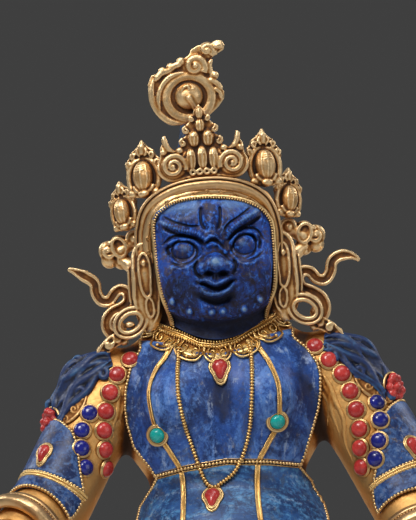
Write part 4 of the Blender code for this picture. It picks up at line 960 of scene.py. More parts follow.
def faceRelief(x, z):
    def ridge(line, height, width, taper=0.12, notch=0.0):
        away, place, length = lineDistance(x, z, smoothLine(line, 5) if len(line) > 2 else line)
        ends = np.clip(np.minimum(place, length - place) / (taper * length) + 0.25, 0.25, 1)
        carved = 1 + notch * np.sin(place * 2 * math.pi / 2.7)
        return height * np.exp(-(away / (width * (0.55 + 0.45 * ends))) ** 2) * ends * carved

    (_, cy, cz), (rx, ry, rz) = face["ball"]
    depth = -cy + ry * np.sqrt(np.maximum(0.05, 1 - (x / rx) ** 2 - ((z - cz) / rz) ** 2))
    for lx, lz, wide, tall, height in face["lumps"]:
        depth += height * np.exp(-((np.abs(x) - lx) / wide) ** 2 - ((z - lz) / tall) ** 2)
    for line in face["brows"]:
        depth += ridge(line, 6.6, 3.9, 0.16, 0.09)
    for line in face["browLines"]:
        depth -= ridge(line, 2.6, 1.0)
    for line in face["browUnder"]:
        depth -= ridge(line, 4.6, 2.0)
    for line in face["thirdEye"]:
        depth -= ridge(line, 3.2, 1.5)
    for line in face["root"]:
        depth += ridge(line, 4.6, 2.5)
    depth -= ridge(face["rootCut"], 3.6, 1.5)

    # the eyeballs bulge between thick lids
    for ex, ez, r in face["eyes"]:
        away = np.hypot(x - ex, z - ez)
        seat = float(np.interp(ez, z[:, 0], depth[:, np.argmin(np.abs(x[0] - ex))]))
        ball = seat - 3.0 + np.sqrt(np.maximum(r * r - away ** 2, 0)) * 0.95
        depth = np.where(away < r, np.maximum(depth, ball), depth)
        depth -= 1.8 * np.exp(-((away - r - 0.6) / 1.0) ** 2) * (z < ez + 4)
    for line in face["upperLids"]:
        ex, ez, _ = face["eyes"][0 if line[0][0] < 0 else 1]
        depth += ridge(line, 5.4, 2.3, 0.2)
        depth -= ridge([(ex + (px - ex) * 0.80, ez + (pz - ez) * 0.80) for px, pz in line], 3.6, 1.1, 0.3)
        depth -= ridge([(ex + (px - ex) * 1.20, ez + (pz - ez) * 1.32) for px, pz in line[2:]], 3.0, 1.3, 0.3)
    for line in face["lowerLids"]:
        depth += ridge(line, 2.8, 1.9, 0.2)
    for line in face["corners"]:
        depth -= ridge(line, 3.4, 1.8)
    for line in face["bags"]:
        depth += ridge(line, 2.2, 2.8, 0.3)
        depth -= ridge([(px, pz + 3.6) for px, pz in line], 2.0, 1.6, 0.3)

    # the nose: a round tip between full wings, undercut
    for nx, nz, wide, tall, height in face["nose"]:
        away = np.hypot((x - nx) / wide, (z - nz) / tall)
        depth += height * np.exp(-away ** 3)
    for line in face["noseSides"]:
        depth -= ridge(line, 4.4, 1.8, 0.2)
    depth -= ridge(face["noseTop"], 1.6, 1.4, 0.2)
    for nx, nz, wide, tall in face["nostrils"]:
        depth -= 8.0 * np.exp(-(((x - nx) / wide) ** 2 + ((z - nz) / tall) ** 2) ** 1.2)

    # the mouth: a bowed upper lip, a dark gap and a full lower lip
    depth += ridge(face["upperLip"], 5.8, 2.8, 0.2)
    depth += ridge(face["lowerLip"], 7.4, 3.2, 0.2)
    depth -= ridge(face["mouth"], 9.0, 1.9, 0.1)
    depth -= ridge(face["underLip"], 5.6, 3.0, 0.2)
    for side in (-1, 1):
        depth -= 3.0 * np.exp(-((x - side * 18.6) / 2.4) ** 2 - ((z - 239.5) / 3.2) ** 2)
        depth -= 1.6 * np.exp(-((x - side * 1.6 + 1) / 0.9) ** 2 - ((z - 244) / 3.4) ** 2)
    for nx, nz in face["nubs"]:
        away = np.hypot(x - nx, (z - nz) * np.where(z > nz, 0.72, 1.0))
        depth += 5.6 * np.exp(-(away / 3.5) ** 3)
        depth -= 0.6 * np.exp(-((away - 5.0) / 1.3) ** 2)
    return depth


def faceAge(x, z):
    # where hands have worn the stone pale, with painted highlights on the nose, lips, bumps and upper forehead,
    # and where dark grime has stayed, with painted shade under the chin, nose and lip, in the eye corners and
    # across the lower face
    def near(line, width):
        return np.exp(-(lineDistance(x, z, line)[0] / width) ** 2)

    wearAndPaintedLight = 0.95 * np.exp(-((x - 1) / 7) ** 2 - ((z - 259) / 6) ** 2)
    wearAndPaintedLight += sum(0.55 * np.exp(-((x - s * 13) / 4) ** 2 - ((z - 257) / 4) ** 2) for s in (-1, 1))
    wearAndPaintedLight += 0.62 * near(face["lowerLip"], 3.0) + 0.55 * near(face["upperLip"], 2.2)
    wearAndPaintedLight += sum(0.40 * near(line, 2.2) for line in face["brows"])
    wearAndPaintedLight += sum(0.45 * near(line, 1.8) for line in face["bags"])
    wearAndPaintedLight += sum(1.0 * np.exp(-(np.hypot(x - nx, z - nz - 1) / 3.2) ** 2) for nx, nz in face["nubs"])
    # painted light from above: the upper forehead paler
    wearAndPaintedLight += 0.40 * softStep(288, 308, z) * softStep(6, 16, np.abs(x)) + 0.3 * softStep(306, 316, z)
    wearAndPaintedLight += 0.30 * near(face["root"][0], 1.8)
    wearAndPaintedLight += sum(0.58 * np.exp(-((x - ex) / 8) ** 2 - ((z - ez - 2) / 6) ** 2) for ex, ez, _ in face["eyes"])
    # painted shade: the neck under the chin, the lower face, the left cheek, under the lip and nose, in the eye
    # corners and along the brows and nose
    shadeAndStain = 0.95 * softStep(3, -3, z - readOff(face["chin"], np.abs(x)))
    shadeAndStain += 0.40 * np.exp(-((x + 35) / 15) ** 2 - ((z - 243) / 15) ** 2)
    shadeAndStain += 0.44 * softStep(262, 222, z) + 0.35 * np.exp(-((x - 4) / 26) ** 2 - ((z - 236) / 12) ** 2)
    shadeAndStain += 0.8 * near(face["underLip"], 3.0) + sum(0.6 * near(line, 2.2) for line in face["corners"])
    shadeAndStain += sum(0.5 * near(line, 2.0) for line in face["browUnder"] + face["noseSides"])
    shadeAndStain += 0.7 * near([(-10, 247), (10, 245.6)], 2.6)
    return np.clip(wearAndPaintedLight, 0, 1), np.clip(shadeAndStain - wearAndPaintedLight * 0.4, 0, 1)


def makeFace():
    rows, columns = face["rows"], face["columns"]
    across = np.linspace(-1, 1, columns)[None, :]
    share = np.linspace(0, 1, rows)[:, None]
    low, high = 182 + 19 * across ** 2, 321 - 7 * np.abs(across) ** 3 - 3 * across
    z = low + (high - low) * share
    x = across * readOff(face["halfWidth"], share)
    # the rear follows the head a little way off, read off at every fourth point
    coarse = np.array([[frontOf(castTree, face["centre"] + x[r, c], z[r, c], -20) for c in range(0, columns, 4)]
                       for r in range(0, rows, 4)])
    for _ in range(3):
        pad = np.pad(coarse, 1, mode="edge")
        coarse = np.minimum(coarse, (pad[:-2, 1:-1] + pad[2:, 1:-1] + pad[1:-1, :-2] + pad[1:-1, 2:]) / 4)
    back = np.array([np.interp(np.arange(columns), np.arange(0, columns, 4), row) for row in coarse])
    back = np.array([np.interp(np.arange(rows), np.arange(0, rows, 4), col) for col in back.T]).T - 2.4
    thickness = plateThickness
    front = np.minimum(-faceRelief(x, z), back - thickness)
    edge = np.minimum(1 - np.abs(across), np.minimum(1 - share, share) * 3) * 60
    front = front + 4.2 * (1 - np.clip(edge, 0, 4) / 4) ** 2   # the rim is rounded back
    front = np.minimum(front, back - thickness * 0.4)
    chin = softStep(-4, 4, readOff(face["chin"], np.abs(x)) - z)
    front = front + (back - thickness - front) * chin
    outer = np.stack([face["centre"] + x, front, z], -1)
    rimmed = np.pad(outer, ((1, 1), (1, 1), (0, 0)), mode="edge")
    rimmed[..., 1] = np.pad(back, 1, mode="edge")
    rimmed[1:-1, 1:-1, 1] = front
    piece = finishPiece("carved_face", Form().sheet(rimmed).mesh(), faceLapis, ["lapis_face"],
                        hollows=6)
    # the pale marks carry wear and painted highlight, the dark ones grime and painted shade
    for name, values in zip(("wearAndPaintedLight", "shadeAndStain"), faceAge(x, z)):
        addLayer(piece.data, name, np.pad(values, 1, mode="edge"))
    return outer


makeHands()
makeFeet()
makeHair()
makeShoulderLocks()
faceFront = makeFace()
print("figure, hair and face carved")


# The lapis plates of the torso and the arms

plates = {
    "gap": 0.00066 / part, "thick": plateThickness, "torsoGrid": (64, 84), "armGrid": (40, 44),
    "roots": [(-120, -8), (0, -14), (60, 0), (190, 8)],
    "chestEdge": [
        [(50, 67), (60, 72), (81, 86), (105, 91), (121, 92), (140, 90), (159, 84), (168, 79), (178, 72)],
        [(50, 69), (60, 74), (81, 82), (105, 91), (121, 94.5), (140, 96), (151, 94), (165, 86), (178, 72)]],
    "bellyEdge": [
        [(-70, 76), (-45, 88), (-10, 92), (0, 91), (20, 84), (40, 71), (50, 66)],
        [(-70, 76), (-45, 88), (-10, 92), (0, 91), (20, 86), (40, 74), (50, 68)]],
    "beltRise": [(0, 62), (40, 58), (73, 51)],
    "neckline": [(0, 168), (25, 172), (50, 182), (75, 186)],
    "beltJoint": 1.2,
    # shares of the arm's length, and the angles at which the plate begins and ends there
    "upperArm": [(0.275, 66, 150), (0.285, 44, 150), (0.31, 22, 150), (0.36, 4, 150), (0.46, -15, 150),
                 (0.522, -28, 150)],
    "lowerArm": [(0.568, -34, 150), (0.61, -38, 150), (0.65, -42, 150), (0.69, -44, 150)],
}


def torsoGrid(edge, low, high):
    # points on the torso's front and the level directions out of it
    rows, columns = plates["torsoGrid"]
    share = np.linspace(0, 1, rows)[:, None]
    across = np.sin(math.pi / 2 * np.linspace(-1, 1, columns))[None, :]
    half = readOff(edge[0], low(0) + (high(0) - low(0)) * share)
    x = across * half
    z = low(np.abs(x)) + (high(np.abs(x)) - low(np.abs(x))) * share
    x = across * np.where(across < 0, readOff(edge[0], z), readOff(edge[1], z))
    z = np.broadcast_to(z, x.shape)
    points = np.stack([x, x, z], -1)
    for place in points.reshape(-1, 3):
        depth = frontOf(castTree, place[0], place[2])
        while depth is None:   # off the side of the body: come back in until it is met
            place[0] *= 0.985
            depth = frontOf(castTree, place[0], place[2])
        place[1] = depth
    x = points[..., 0]
    roots = spots(0.55 * x, readOff(plates["roots"], z), z)
    return points, unit((points - roots) * [1, 1, 0])


def makePlate(name, points, outs, finish, node):
    gap, thick = plates["gap"], plates["thick"]
    rows, columns, _ = points.shape
    row, column = np.arange(rows)[:, None], np.arange(columns)[None, :]
    edge = np.minimum(np.minimum(row, rows - 1 - row), np.minimum(column, columns - 1 - column))
    rounded = np.where(edge == 0, 0.55, np.where(edge == 1, 0.9, 1.0))[..., None]
    mesh = Form().slab(points + outs * (gap + thick * rounded), points + outs * gap * 0.5).mesh()
    tree = surfaceOf(mesh)
    finishPiece(name, mesh, finish, [node], hollows=5)
    return tree


def armFrames(chain, shares):
    # the arm's axis at shares of its length: centres, directions, and front and outer sides
    line = smoothLine([centre for centre, _ in chain], 12)
    lengths = lengthsAlong(line)
    goal = np.asarray(shares, float) * lengths[-1]
    centre = valuesAt(goal, lengths, line)
    along = unit(valuesAt(goal, lengths, np.gradient(line, axis=0)))
    outward = spots(np.copysign(1.0, centre[..., 0]), 0, 0.55)
    outer = unit(outward - along * np.sum(outward * along, -1, keepdims=True))
    front = np.cross(along, outer)
    facing = np.sum(front * [0, -1, 0.3], -1, keepdims=True)
    return centre, along, np.where(facing < 0, -front, front), outer


def armPoint(chain, share, degrees, lift=0.0):
    # points on the arm's skin; 0 degrees faces the front and 90 the outer side
    share, degrees = np.broadcast_arrays(np.asarray(share, float), np.asarray(degrees, float))
    centre, _, front, outer = armFrames(chain, share.ravel())
    angle = np.radians(degrees.ravel())[:, None]
    rays = front * np.cos(angle) + outer * np.sin(angle)
    far = []
    for origin, ray in zip(centre, rays):
        hit = castTree.ray_cast(Vector(origin) * part, Vector(ray), 75 * part)
        far.append(hit[3] / part if hit[0] is not None else 40.0)
    points = centre + rays * (np.array(far)[:, None] + lift)
    return points.reshape(share.shape + (3,)), rays.reshape(share.shape + (3,))


def armGrid(chain, spans):
    rows, columns = plates["armGrid"]
    share = np.linspace(spans[0][0], spans[-1][0], rows)[:, None]
    inner = readOff([(s, a) for s, a, _ in spans], share)
    outer = readOff([(s, b) for s, _, b in spans], share)
    if chain[0][0][0] > 0:   # counted the same way round on both arms
        inner, outer = outer, inner
    degrees = inner + (outer - inner) * np.linspace(0, 1, columns)[None, :]
    return armPoint(chain, share, degrees)


def rimOf(points, outs, lift):
    # the four edges of a grid of points, as one closed line
    line, outs = (np.vstack([g[0], g[1:, -1], g[-1, -2::-1], g[-2:0:-1, 0]]) for g in (points, outs))
    return line + outs * lift, outs


def beadLine(form, line, radius, pitch, long=1.0, closed=False, around=8, up=5):
    places = evenly(np.vstack([line, line[:1]]), pitch)[:-1] if closed else evenly(line, pitch)
    form.beads(places, np.gradient(places, axis=0), radius, long=long, around=around, up=up)


def beltAbove(rise):
    return lambda x: readOff(plates["beltRise"], x) + rise


chestPoints, chestOuts = torsoGrid(plates["chestEdge"], beltAbove(plates["beltJoint"]),
                                   lambda x: readOff(plates["neckline"], x))
bellyPoints, bellyOuts = torsoGrid(plates["bellyEdge"], lambda x: x * 0 - 72, beltAbove(-plates["beltJoint"]))
# the two breasts swell under the stone, with a hollow between them
side, height = np.abs(chestPoints[..., 0]), chestPoints[..., 2]
swell = (6.5 * np.exp(-((side - 42) / 25) ** 2 - ((height - 122) / 31) ** 2)
         - 3.5 * np.exp(-(side / 10) ** 2 - ((height - 122) / 30) ** 2))
chestPoints = chestPoints + chestOuts * swell[..., None]
chestTree = makePlate("chest_lapis", chestPoints, chestOuts, chestLapis, "chest_plate")
bellyTree = makePlate("belly_lapis", bellyPoints, bellyOuts, bellyLapis, "belly_plate")
arms = {"right": body["rightArm"], "left": body["leftArm"]}
armPlates = {}
for armSide, chain in arms.items():
    for level, spans in (("upper", plates["upperArm"]), ("lower", plates["lowerArm"])):
        points, outs = armGrid(chain, spans)
        tree = makePlate(f"{level}_arm_lapis_{armSide}", points, outs, armLapis, f"{level}_arm_plate_{armSide}")
        armPlates[level, armSide] = (points, outs, tree)


def frontmost(*trees):
    # reads a line of (x, z) off whichever surface is in front
    def read(line, lift=0.0, blur=0):
        line = np.asarray(line, float)
        found = [readFront(tree, line, lambda x, z: np.inf) for tree in trees]
        first = np.argmin([depths for depths, _ in found], 0)
        places = np.arange(len(line))
        depths, outs = (np.array(values)[first, places] for values in zip(*found))
        known = np.isfinite(depths)
        depths = np.interp(places, np.flatnonzero(known), depths[known])
        return lifted(line, depths, outs, lift, blur)
    return read


onFigure = frontmost(castTree, chestTree, bellyTree, *(tree for _, _, tree in armPlates.values()))
print("lapis plates laid")


# Beaded wires that hold the plates and the face

wires = {
    "bead": 1.95, "pitch": 3.7, "beltPitch": 3.6, "faceBead": 1.6, "facePitch": 2.65,
    "faceLine": [(-45.5, 198), (-46.5, 205), (-49.6, 217), (-53.5, 231), (-56, 255), (-57, 285), (-56.8, 300),
                 (-52.5, 310), (-39, 318.7), (-25.5, 322), (-8, 322.8), (8, 321.6), (20, 319.8), (32.6, 316.5),
                 (47, 309.5), (54.8, 301), (59, 291), (59.3, 275), (59.1, 259), (57, 232.7), (51.6, 218),
                 (47, 205), (46, 198)],
}


def makeBeadedWires():
    form = Form()
    lift = plates["gap"] + plates["thick"] * 0.55
    for points, outs in ((chestPoints, chestOuts), (bellyPoints, bellyOuts)):
        for column in (2, -3):
            line = points[:, column] + outs[:, column] * (lift + 1.6)
            beadLine(form, line, wires["bead"], wires["pitch"])
    beltLine = (chestPoints[0] + bellyPoints[-1]) / 2 + chestOuts[0] * (plates["gap"] + plates["thick"])
    beadLine(form, beltLine, wires["bead"], wires["beltPitch"])
    for shift in (-2.8, 2.8):
        form.wire(beltLine + [0, 0.6, shift], 0.7, out=chestOuts[0], sides=6)
    for points, outs, _ in armPlates.values():
        line, outs = rimOf(points, outs, lift)
        beadLine(form, line, wires["bead"], wires["pitch"], closed=True)
        form.wire(line - outs * 0.9, 0.9, out=outs, sides=6, closed=True)
    finishPiece("beaded_wires", form.mesh(), beadGilt, hollows=1)

    # the wire round the face, with the flange that it lies on
    form = Form()
    line = evenly(smoothLine(wires["faceLine"], 8), 1.5)
    centre = face["centre"]
    inner = line - unit(line - [0, 262]) * 3.4
    depths = np.array([frontOf(faceTree, centre + x, z, -30) for x, z in inner])
    hoodDepths = np.array([frontOf(castTree, centre + x, z, -20) for x, z in line])
    depths = eased(np.minimum(depths * 0.75 + hoodDepths * 0.25, hoodDepths - 3.6), 30)
    flat = spots(centre + line[:, 0], depths, line[:, 1])
    beadLine(form, flat - [0, 0.9, 0], wires["faceBead"], wires["facePitch"], 0.70, around=10, up=7)
    form.sweep(flat, (0, -1, 0), [(-3.4, -9), (0.8, -6), (0.8, -1.6), (-3.4, -1.8)])
    finishPiece("face_wire", form.mesh(), beadGilt, hollows=1)


faceTree = surfaceOf(Form().sheet(faceFront).mesh())
makeBeadedWires()


# The long chain, the straps and the filigree collar

necklaces = {
    "chain": [(-38, 175), (-39, 164), (-41, 151), (-41.5, 128), (-38, 103), (-31, 76), (-25, 53), (-20, 41),
              (-14, 37), (-6, 41), (8, 52), (19, 73), (26.5, 98), (30.5, 123), (32.5, 148), (32.5, 164),
              (32, 175)],
    "chainBead": 2.55, "chainPitch": 3.3,
    "straps": {
        "right": [(-44, 180), (-52, 168), (-62, 156), (-70, 136), (-68.5, 111), (-64, 94), (-54, 75), (-45, 56),
                  (-44, 34), (-47, 4), (-52, -36), (-56, -66)],
        "left": [(36, 178), (43, 167), (50, 154), (56, 135), (56, 115), (53, 95), (41, 75), (31, 57), (28, 28),
                 (29, -3), (31, -40), (32, -66)]},
}


def rope(form, line, outs, radius, pitch, hand):
    # a twisted wire: slanted long beads
    both = evenly(np.hstack([line, np.broadcast_to(outs, np.shape(line)) * 1e-6]), pitch)
    places, outs = both[:, :3], unit(both[:, 3:])
    along = unit(np.gradient(places, axis=0))
    across = unit(np.cross(along, outs))
    return form.beads(places, along + across * 0.75 * hand, radius, long=1.45, around=6, up=5)


def makeNecklaces():
    line = evenly(smoothLine(necklaces["chain"], 8), 1.6)
    points, outs = onFigure(line, necklaces["chainBead"] * 0.8, 3)
    form = Form()
    beadLine(form, points, necklaces["chainBead"], necklaces["chainPitch"], long=0.6, around=12, up=6)
    form.wire(points, 0.9, out=outs, sides=6)
    finishPiece("disc_chain", form.mesh(), filigree, ["bead_chain"], hollows=1)
    for side, line in necklaces["straps"].items():
        form = Form()
        points, outs = onFigure(evenly(smoothLine(line, 8), 1.6), 0.6, 4)
        form.sweep(points, outs, [(-2.0, -0.8), (2.0, -0.8), (1.9, 0.6), (0.9, 0.9), (0, 0.3), (-0.9, 0.9),
                                  (-1.9, 0.6)])
        across = unit(np.cross(unit(np.gradient(points, axis=0)), outs))
        for hand in (-1, 1):
            rope(form, points + across * 1.95 * hand + outs * 0.7, outs, 0.85, 1.6, hand)
        finishPiece(f"rope_strap_{side}", form.mesh(), filigree, [f"strap_{side}"], hollows=1)


collar = {
    "cups": 13,
    "top": [(0, 178), (20, 181), (40, 190), (70, 200), (90, 203), (180, 206)],
    "tips": [(0, 161), (20, 164), (40, 172), (70, 188), (90, 193), (180, 195)],
    "reach": 82.0, "wire": 0.82, "axisY": 6, "turnStep": 3, "drops": (-0.15, 1.25, 9),
}


def collarSurface():
    # how far the dressed figure reaches out from the neck's axis, by angle and share of the drop
    turns, drops = np.arange(0, 360, collar["turnStep"]), np.linspace(*collar["drops"])
    far = np.zeros((len(drops), len(turns)))
    for r, drop in enumerate(drops):
        for c, turn in enumerate(turns):
            side = min(turn, 360 - turn)
            top, tip = readOff(collar["top"], side), readOff(collar["tips"], side)
            origin = Vector((0, collar["axisY"], top - (top - tip) * drop)) * part
            angle = math.radians(turn)
            ray = Vector((math.sin(angle), -math.cos(angle), 0))
            for tree in (castTree, chestTree):
                start = 0.0
                while True:
                    hit = tree.ray_cast(origin + ray * start, ray, collar["reach"] * part - start)
                    if hit[0] is None:
                        break
                    start += hit[3] + 1e-6
                far[r, c] = max(far[r, c], start / part)
    for _ in range(2):
        far = (np.roll(far, 1, 1) + 2 * far + np.roll(far, -1, 1)) / 4
    return turns, drops, far


def makeCollar():
    turns, drops, far = collarSurface()

    def at(turn, drop, lift):
        turn, drop, lift = np.broadcast_arrays(*(np.asarray(v, float) for v in (turn, drop, lift)))
        around = turn % 360
        column, row = around / collar["turnStep"], (drop - drops[0]) / (drops[1] - drops[0])
        c0 = np.floor(column).astype(int) % len(turns)
        r0 = np.clip(np.floor(row).astype(int), 0, len(drops) - 2)
        c1, fc, fr = (c0 + 1) % len(turns), column - np.floor(column), np.clip(row - r0, 0, 1)
        above, below = (far[r, c0] * (1 - fc) + far[r, c1] * fc for r in (r0, r0 + 1))
        reach = above * (1 - fr) + below * fr + lift
        side = np.minimum(around, 360 - around)
        top, tip = readOff(collar["top"], side), readOff(collar["tips"], side)
        angle = np.radians(around)
        y = collar["axisY"] - reach * np.cos(angle)
        return spots(reach * np.sin(angle), y, top - (top - tip) * drop)

    def outAt(turn):
        angle = np.radians(turn)
        return unit(spots(np.sin(angle), -np.cos(angle), 0.55))

    form = Form()
    spin = np.linspace(0, 360, 241)[:-1]
    # the inner ring with its two rows of beads
    for drop, lift in ((-0.08, 2.6), (0.20, 4.2)):
        beadLine(form, at(spin, drop, lift), 1.6, 2.9, 0.76, closed=True, around=10, up=7)
    form.wire(at(spin, 0.065, 1.6), 1.1, out=outAt(spin), closed=True)
    half = 180 / collar["cups"]
    wire = collar["wire"]
    for cup in range(collar["cups"]):
        middle = cup * 2 * half

        def drawn(line, radius, lift, taper=0.0):
            turn, drop = middle + line[:, 0] * half, -line[:, 1]
            form.wire(at(turn, drop, lift), radius, out=outAt(turn), sides=7, taper=taper)

        bow = smoothLine([(-0.98, -0.24), (-0.97, -0.55), (-0.72, -0.92), (-0.30, -1.10), (0.30, -1.10),
                          (0.72, -0.92), (0.97, -0.55), (0.98, -0.24)], 4)
        drawn(bow, wire * 1.45, 2.8)
        for hand in (-1, 1):
            drawn(spiral(hand * 0.40, -0.56, 0.38, 1.2, 90, -hand, 0.25, 10), wire * 1.1, 3.2, 0.1)
        for u, v, r in ((0, -0.94, 1.9), (-0.99, -0.36, 1.7)):
            form.ball(at(middle + u * half, -v, 3.0), r, around=10, up=6)
    # a thin backing sheet, scalloped like the cups
    turn = np.linspace(0, 360, collar["cups"] * 16 + 1)[:-1]
    wave = 0.55 + 0.45 * np.abs(np.cos(math.pi * turn / (2 * half)))
    rows = np.linspace(1.02, -0.05, 5)[:, None]
    form.slab(at(turn, rows * wave, 1.5), at(turn, rows * wave, 0.3), closed=True)
    finishPiece("filigree_cups", form.mesh(), filigree, ["filigree_collar"], hollows=1)


makeNecklaces()
makeCollar()
print("necklaces and collar hung")


# Stones in their gilt settings

setting = {
    "coral": 0.0060 / part, "lapis_bead": 0.0058 / part, "turquoise": 0.0055 / part, "spacing": 0.0008 / part,
    "dome": 0.36, "plainCollar": ((1.10, 0.4, 1.25), (1.03, 1.6, 0.8)),
    "coralLines": {
        "right": (7, [(-87, 167), (-100, 156), (-108, 141), (-114, 124), (-118, 105), (-119, 85), (-119, 65),
                      (-124, 47), (-132, 31)]),
        "left": (8, [(97, 167), (107, 155), (119, 142), (127, 123), (132, 103), (134, 83), (133, 62), (134, 41),
                     (141, 22), (150, 6)])},
    "lapisLines": {
        "right": (4, [(-131, 119), (-140, 102), (-142, 83), (-138, 63), (-130, 46)]),
        "left": (4, [(153, 107), (154, 88), (151, 68), (147, 47), (141, 30)])},
    "turquoises": {"right": (-65, 93), "left": (53, 98)},
    "armDrops": {"right": (-178, 85), "left": (184, 64)},
    "armFlowers": {"right": ((-170, -20, 112), (-0.72, -0.70, 0.1)),
                   "left": ((171, -22, 120), (0.66, -0.75, 0.1))},
    "flower": (11, 14), "flowerSkin": 0.0003,
    "drops": {"coral_drop_collar": (1, 154), "coral_drop_chain": (-16, 29)},
}


def placeOn(x, z, radius, facing):
    # a stone's seat: its middle, and its right, up and outward directions
    reach = radius * 0.8
    points, outs = onFigure([(x, z)] + [(x + reach * math.cos(a), z + reach * math.sin(a)) for a in circle(8)])
    out = unit(outs.mean(0) - [0, facing, 0])
    plane = (points - points[0]) @ out
    seat = points[0] + out * max(0.0, np.percentile(plane, 70))
    right = unit(np.cross(out, [0, 0, 1]) * -1)
    return seat, right, np.cross(out, right), out


def roundStone(angle):
    return np.ones(len(angle))


def teardrop(angle):
    # drawn out to a point below
    down = np.clip(-np.sin(angle), 0, 1)
    return 0.96 + 0.80 * down ** 9 - 0.06 * down


settings = Form()


def makeStone(node, kind, x, z, diameter, height, outline=roundStone, drop=0.0, rows=setting["plainCollar"],
              facing=0.0):
    # a polished dome, its outline a stretch of its radius by angle, in a setting of rows of wire
    seat, right, up, out = placeOn(x, z, diameter / 2, facing)
    seat = seat + up * drop
    angle = circle(32)
    shape = np.stack([np.cos(angle), np.sin(angle)], 1) * outline(angle)[:, None] * (diameter / 2)
    flat = shape[:, :1] * right + shape[:, 1:] * up
    girdle = seat + out
    dome = [girdle + flat * math.cos(a) ** 0.8 + out * height * math.sin(a)
            for a in np.linspace(0, math.pi / 2, 9)[:-1]]
    mesh = Form().rings([girdle + flat - out * 1.2] + dome).mesh()
    finishPiece(node + "_stone", mesh, stones[kind], [node], hollows=2)
    for size, lift, thick in rows:    # the wire's reach in radii, its height and its own radius
        settings.wire(seat + flat * size + out * lift, thick, out=out, sides=7, closed=True)


def walked(line, count, pitch):
    line = smoothLine(line, 10)
    return valuesAt(np.arange(count) * pitch, lengthsAlong(line), line)


def makeStones():
    for kind, lines in (("coral", setting["coralLines"]), ("lapis_bead", setting["lapisLines"])):
        size = setting[kind]
        for side, (count, line) in lines.items():
            for i, (x, z) in enumerate(walked(line, count, size + setting["spacing"]), 1):
                makeStone(f"{kind}_{side}_{i}", kind, x, z, size, size * setting["dome"])
    coral, turquoise = setting["coral"], setting["turquoise"]
    for side, (x, z) in setting["turquoises"].items():
        makeStone(f"turquoise_{side}", "turquoise", x, z, turquoise, turquoise * 0.42,
                  rows=((1.30, 0.8, 1.7), (1.08, 2.0, 0.9)), facing=1.2)
    for node, (x, z) in setting["drops"].items():
        makeStone(node, "coral", x, z, coral * 0.98, coral * 0.36, teardrop, 1.0,
                  rows=((1.10, 1.2, 1.25), (1.30, 0.6, 1.3), (1.02, 2.4, 0.7)))
    for side, (x, z) in setting["armDrops"].items():
        makeStone(f"coral_drop_armlet_{side}", "coral", x, z, coral * 0.86, coral * 0.3, teardrop,
                  rows=((1.12, 0.8, 1.3), (1.34, 0.2, 1.2)))
    for side, (seat, out) in setting["armFlowers"].items():
        # a coral flower of curled petals round a knot, standing off the outer side of the arm
        seat, out = np.array(seat, float), unit(out)
        right = unit(np.cross(out, [0, 0, 1]) * -1)
        up = np.cross(out, right)
        up = up * np.sign(up[2])
        wide, tall = setting["flower"]
        form = Form().ball(seat, (wide * 0.8, wide * 0.5, tall * 0.8), around=20)
        for k in range(9):
            a = 2 * math.pi * k / 9 + 0.3
            middle = (seat + right * math.cos(a) * wide * 0.70 + up * math.sin(a) * tall * 0.72
                      + out * wide * 0.38)
            form.ball(middle, wide * (0.30 + 0.07 * (k % 3)), around=12)
        form.ball(seat + out * wide * 0.62, wide * 0.36, around=14)
        mesh = melted(form.mesh(), setting["flowerSkin"], 1)
        finishPiece(f"coral_flower_{side}", mesh, stones["coral"], [f"coral_flower_armlet_{side}"])
        angle = circle(32)
        rim = seat + np.outer(np.cos(angle), right) * wide * 1.08 + np.outer(np.sin(angle), up) * tall * 1.06
        settings.wire(rim, 1.5, out=out, closed=True)
    finishPiece("stone_settings", settings.mesh(), beadGilt, hollows=1)


makeStones()
print("stones set")


# Gilt ornaments: the crown, the crest, the ears with their bows, the arm rings and the lotus base

def onGrid(node):
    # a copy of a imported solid's mesh, brought back to the grid
    packed = frame["nodes"][node]
    mesh = packed.data.copy()
    mesh.transform(intoWorld.inverted() @ packed.matrix_world)
    return mesh


def settled(mesh, node, axes=(0, 1, 2)):
    # moved so that its box is centred on the solid's
    goal, own = pointsOf(onGrid(node)), pointsOf(mesh)
    move = (goal.min(0) + goal.max(0) - own.min(0) - own.max(0)) / 2
    mesh.transform(Matrix.Translation([move[k] if k in axes else 0.0 for k in range(3)]))
    return mesh


def plateOf(form, outline, front, back):
    # a flat plate cut to an (x, z) outline
    outline = np.asarray(outline, float)
    n = len(outline)
    flat = [Vector((x, z, 0)) for x, z in outline]
    cut = np.array(tessellate_polygon([flat]))
    i = np.arange(n)
    j = (i + 1) % n
    points = np.vstack([spots(outline[:, 0], y, outline[:, 1]) for y in (front, back)])
    return form.add(points, cut, cut[:, ::-1] + n, np.stack([j, i, i + n, j + n], 1))


def mirroredOutline(half):
    return flipped(-1, half[-2:0:-1]) + half


def drawnAt(form, line, y, radius, taper, squash=0.8):
    # a raised ridge drawn on a plate whose face lies at depth y
    line = smoothLine(line, 5)
    form.wire(spots(line[:, 0], y, line[:, 1]), radius, taper=taper, squash=squash)


def ringAt(form, x, y, z, wide, tall, radius, count=24, squash=1.0):
    # a closed ring standing at depth y
    angle = circle(count)
    form.wire(spots(x + wide * np.cos(angle), y, z + tall * np.sin(angle)), radius, closed=True, squash=squash)


def scrollAt(form, x, z, radius, y, wire, turns, start, hand, rise=1.5, knob=True):
    # a volute: its wire thins and climbs towards the eye
    line = spiral(x, z, radius - wire, turns, start, hand, 0.16, 16)
    t = np.linspace(0, 1, len(line))
    angle = circle(8)
    profile = np.stack([np.cos(angle) * 1.45, np.sin(angle) * 0.85], 1) * wire
    form.sweep(spots(line[:, 0], y - rise * t, line[:, 1]), (0, -1, 0), profile, scale=1 - 0.40 * t)
    if knob:
        form.ball((x, y - rise, z), wire * 0.9, around=10, up=6)


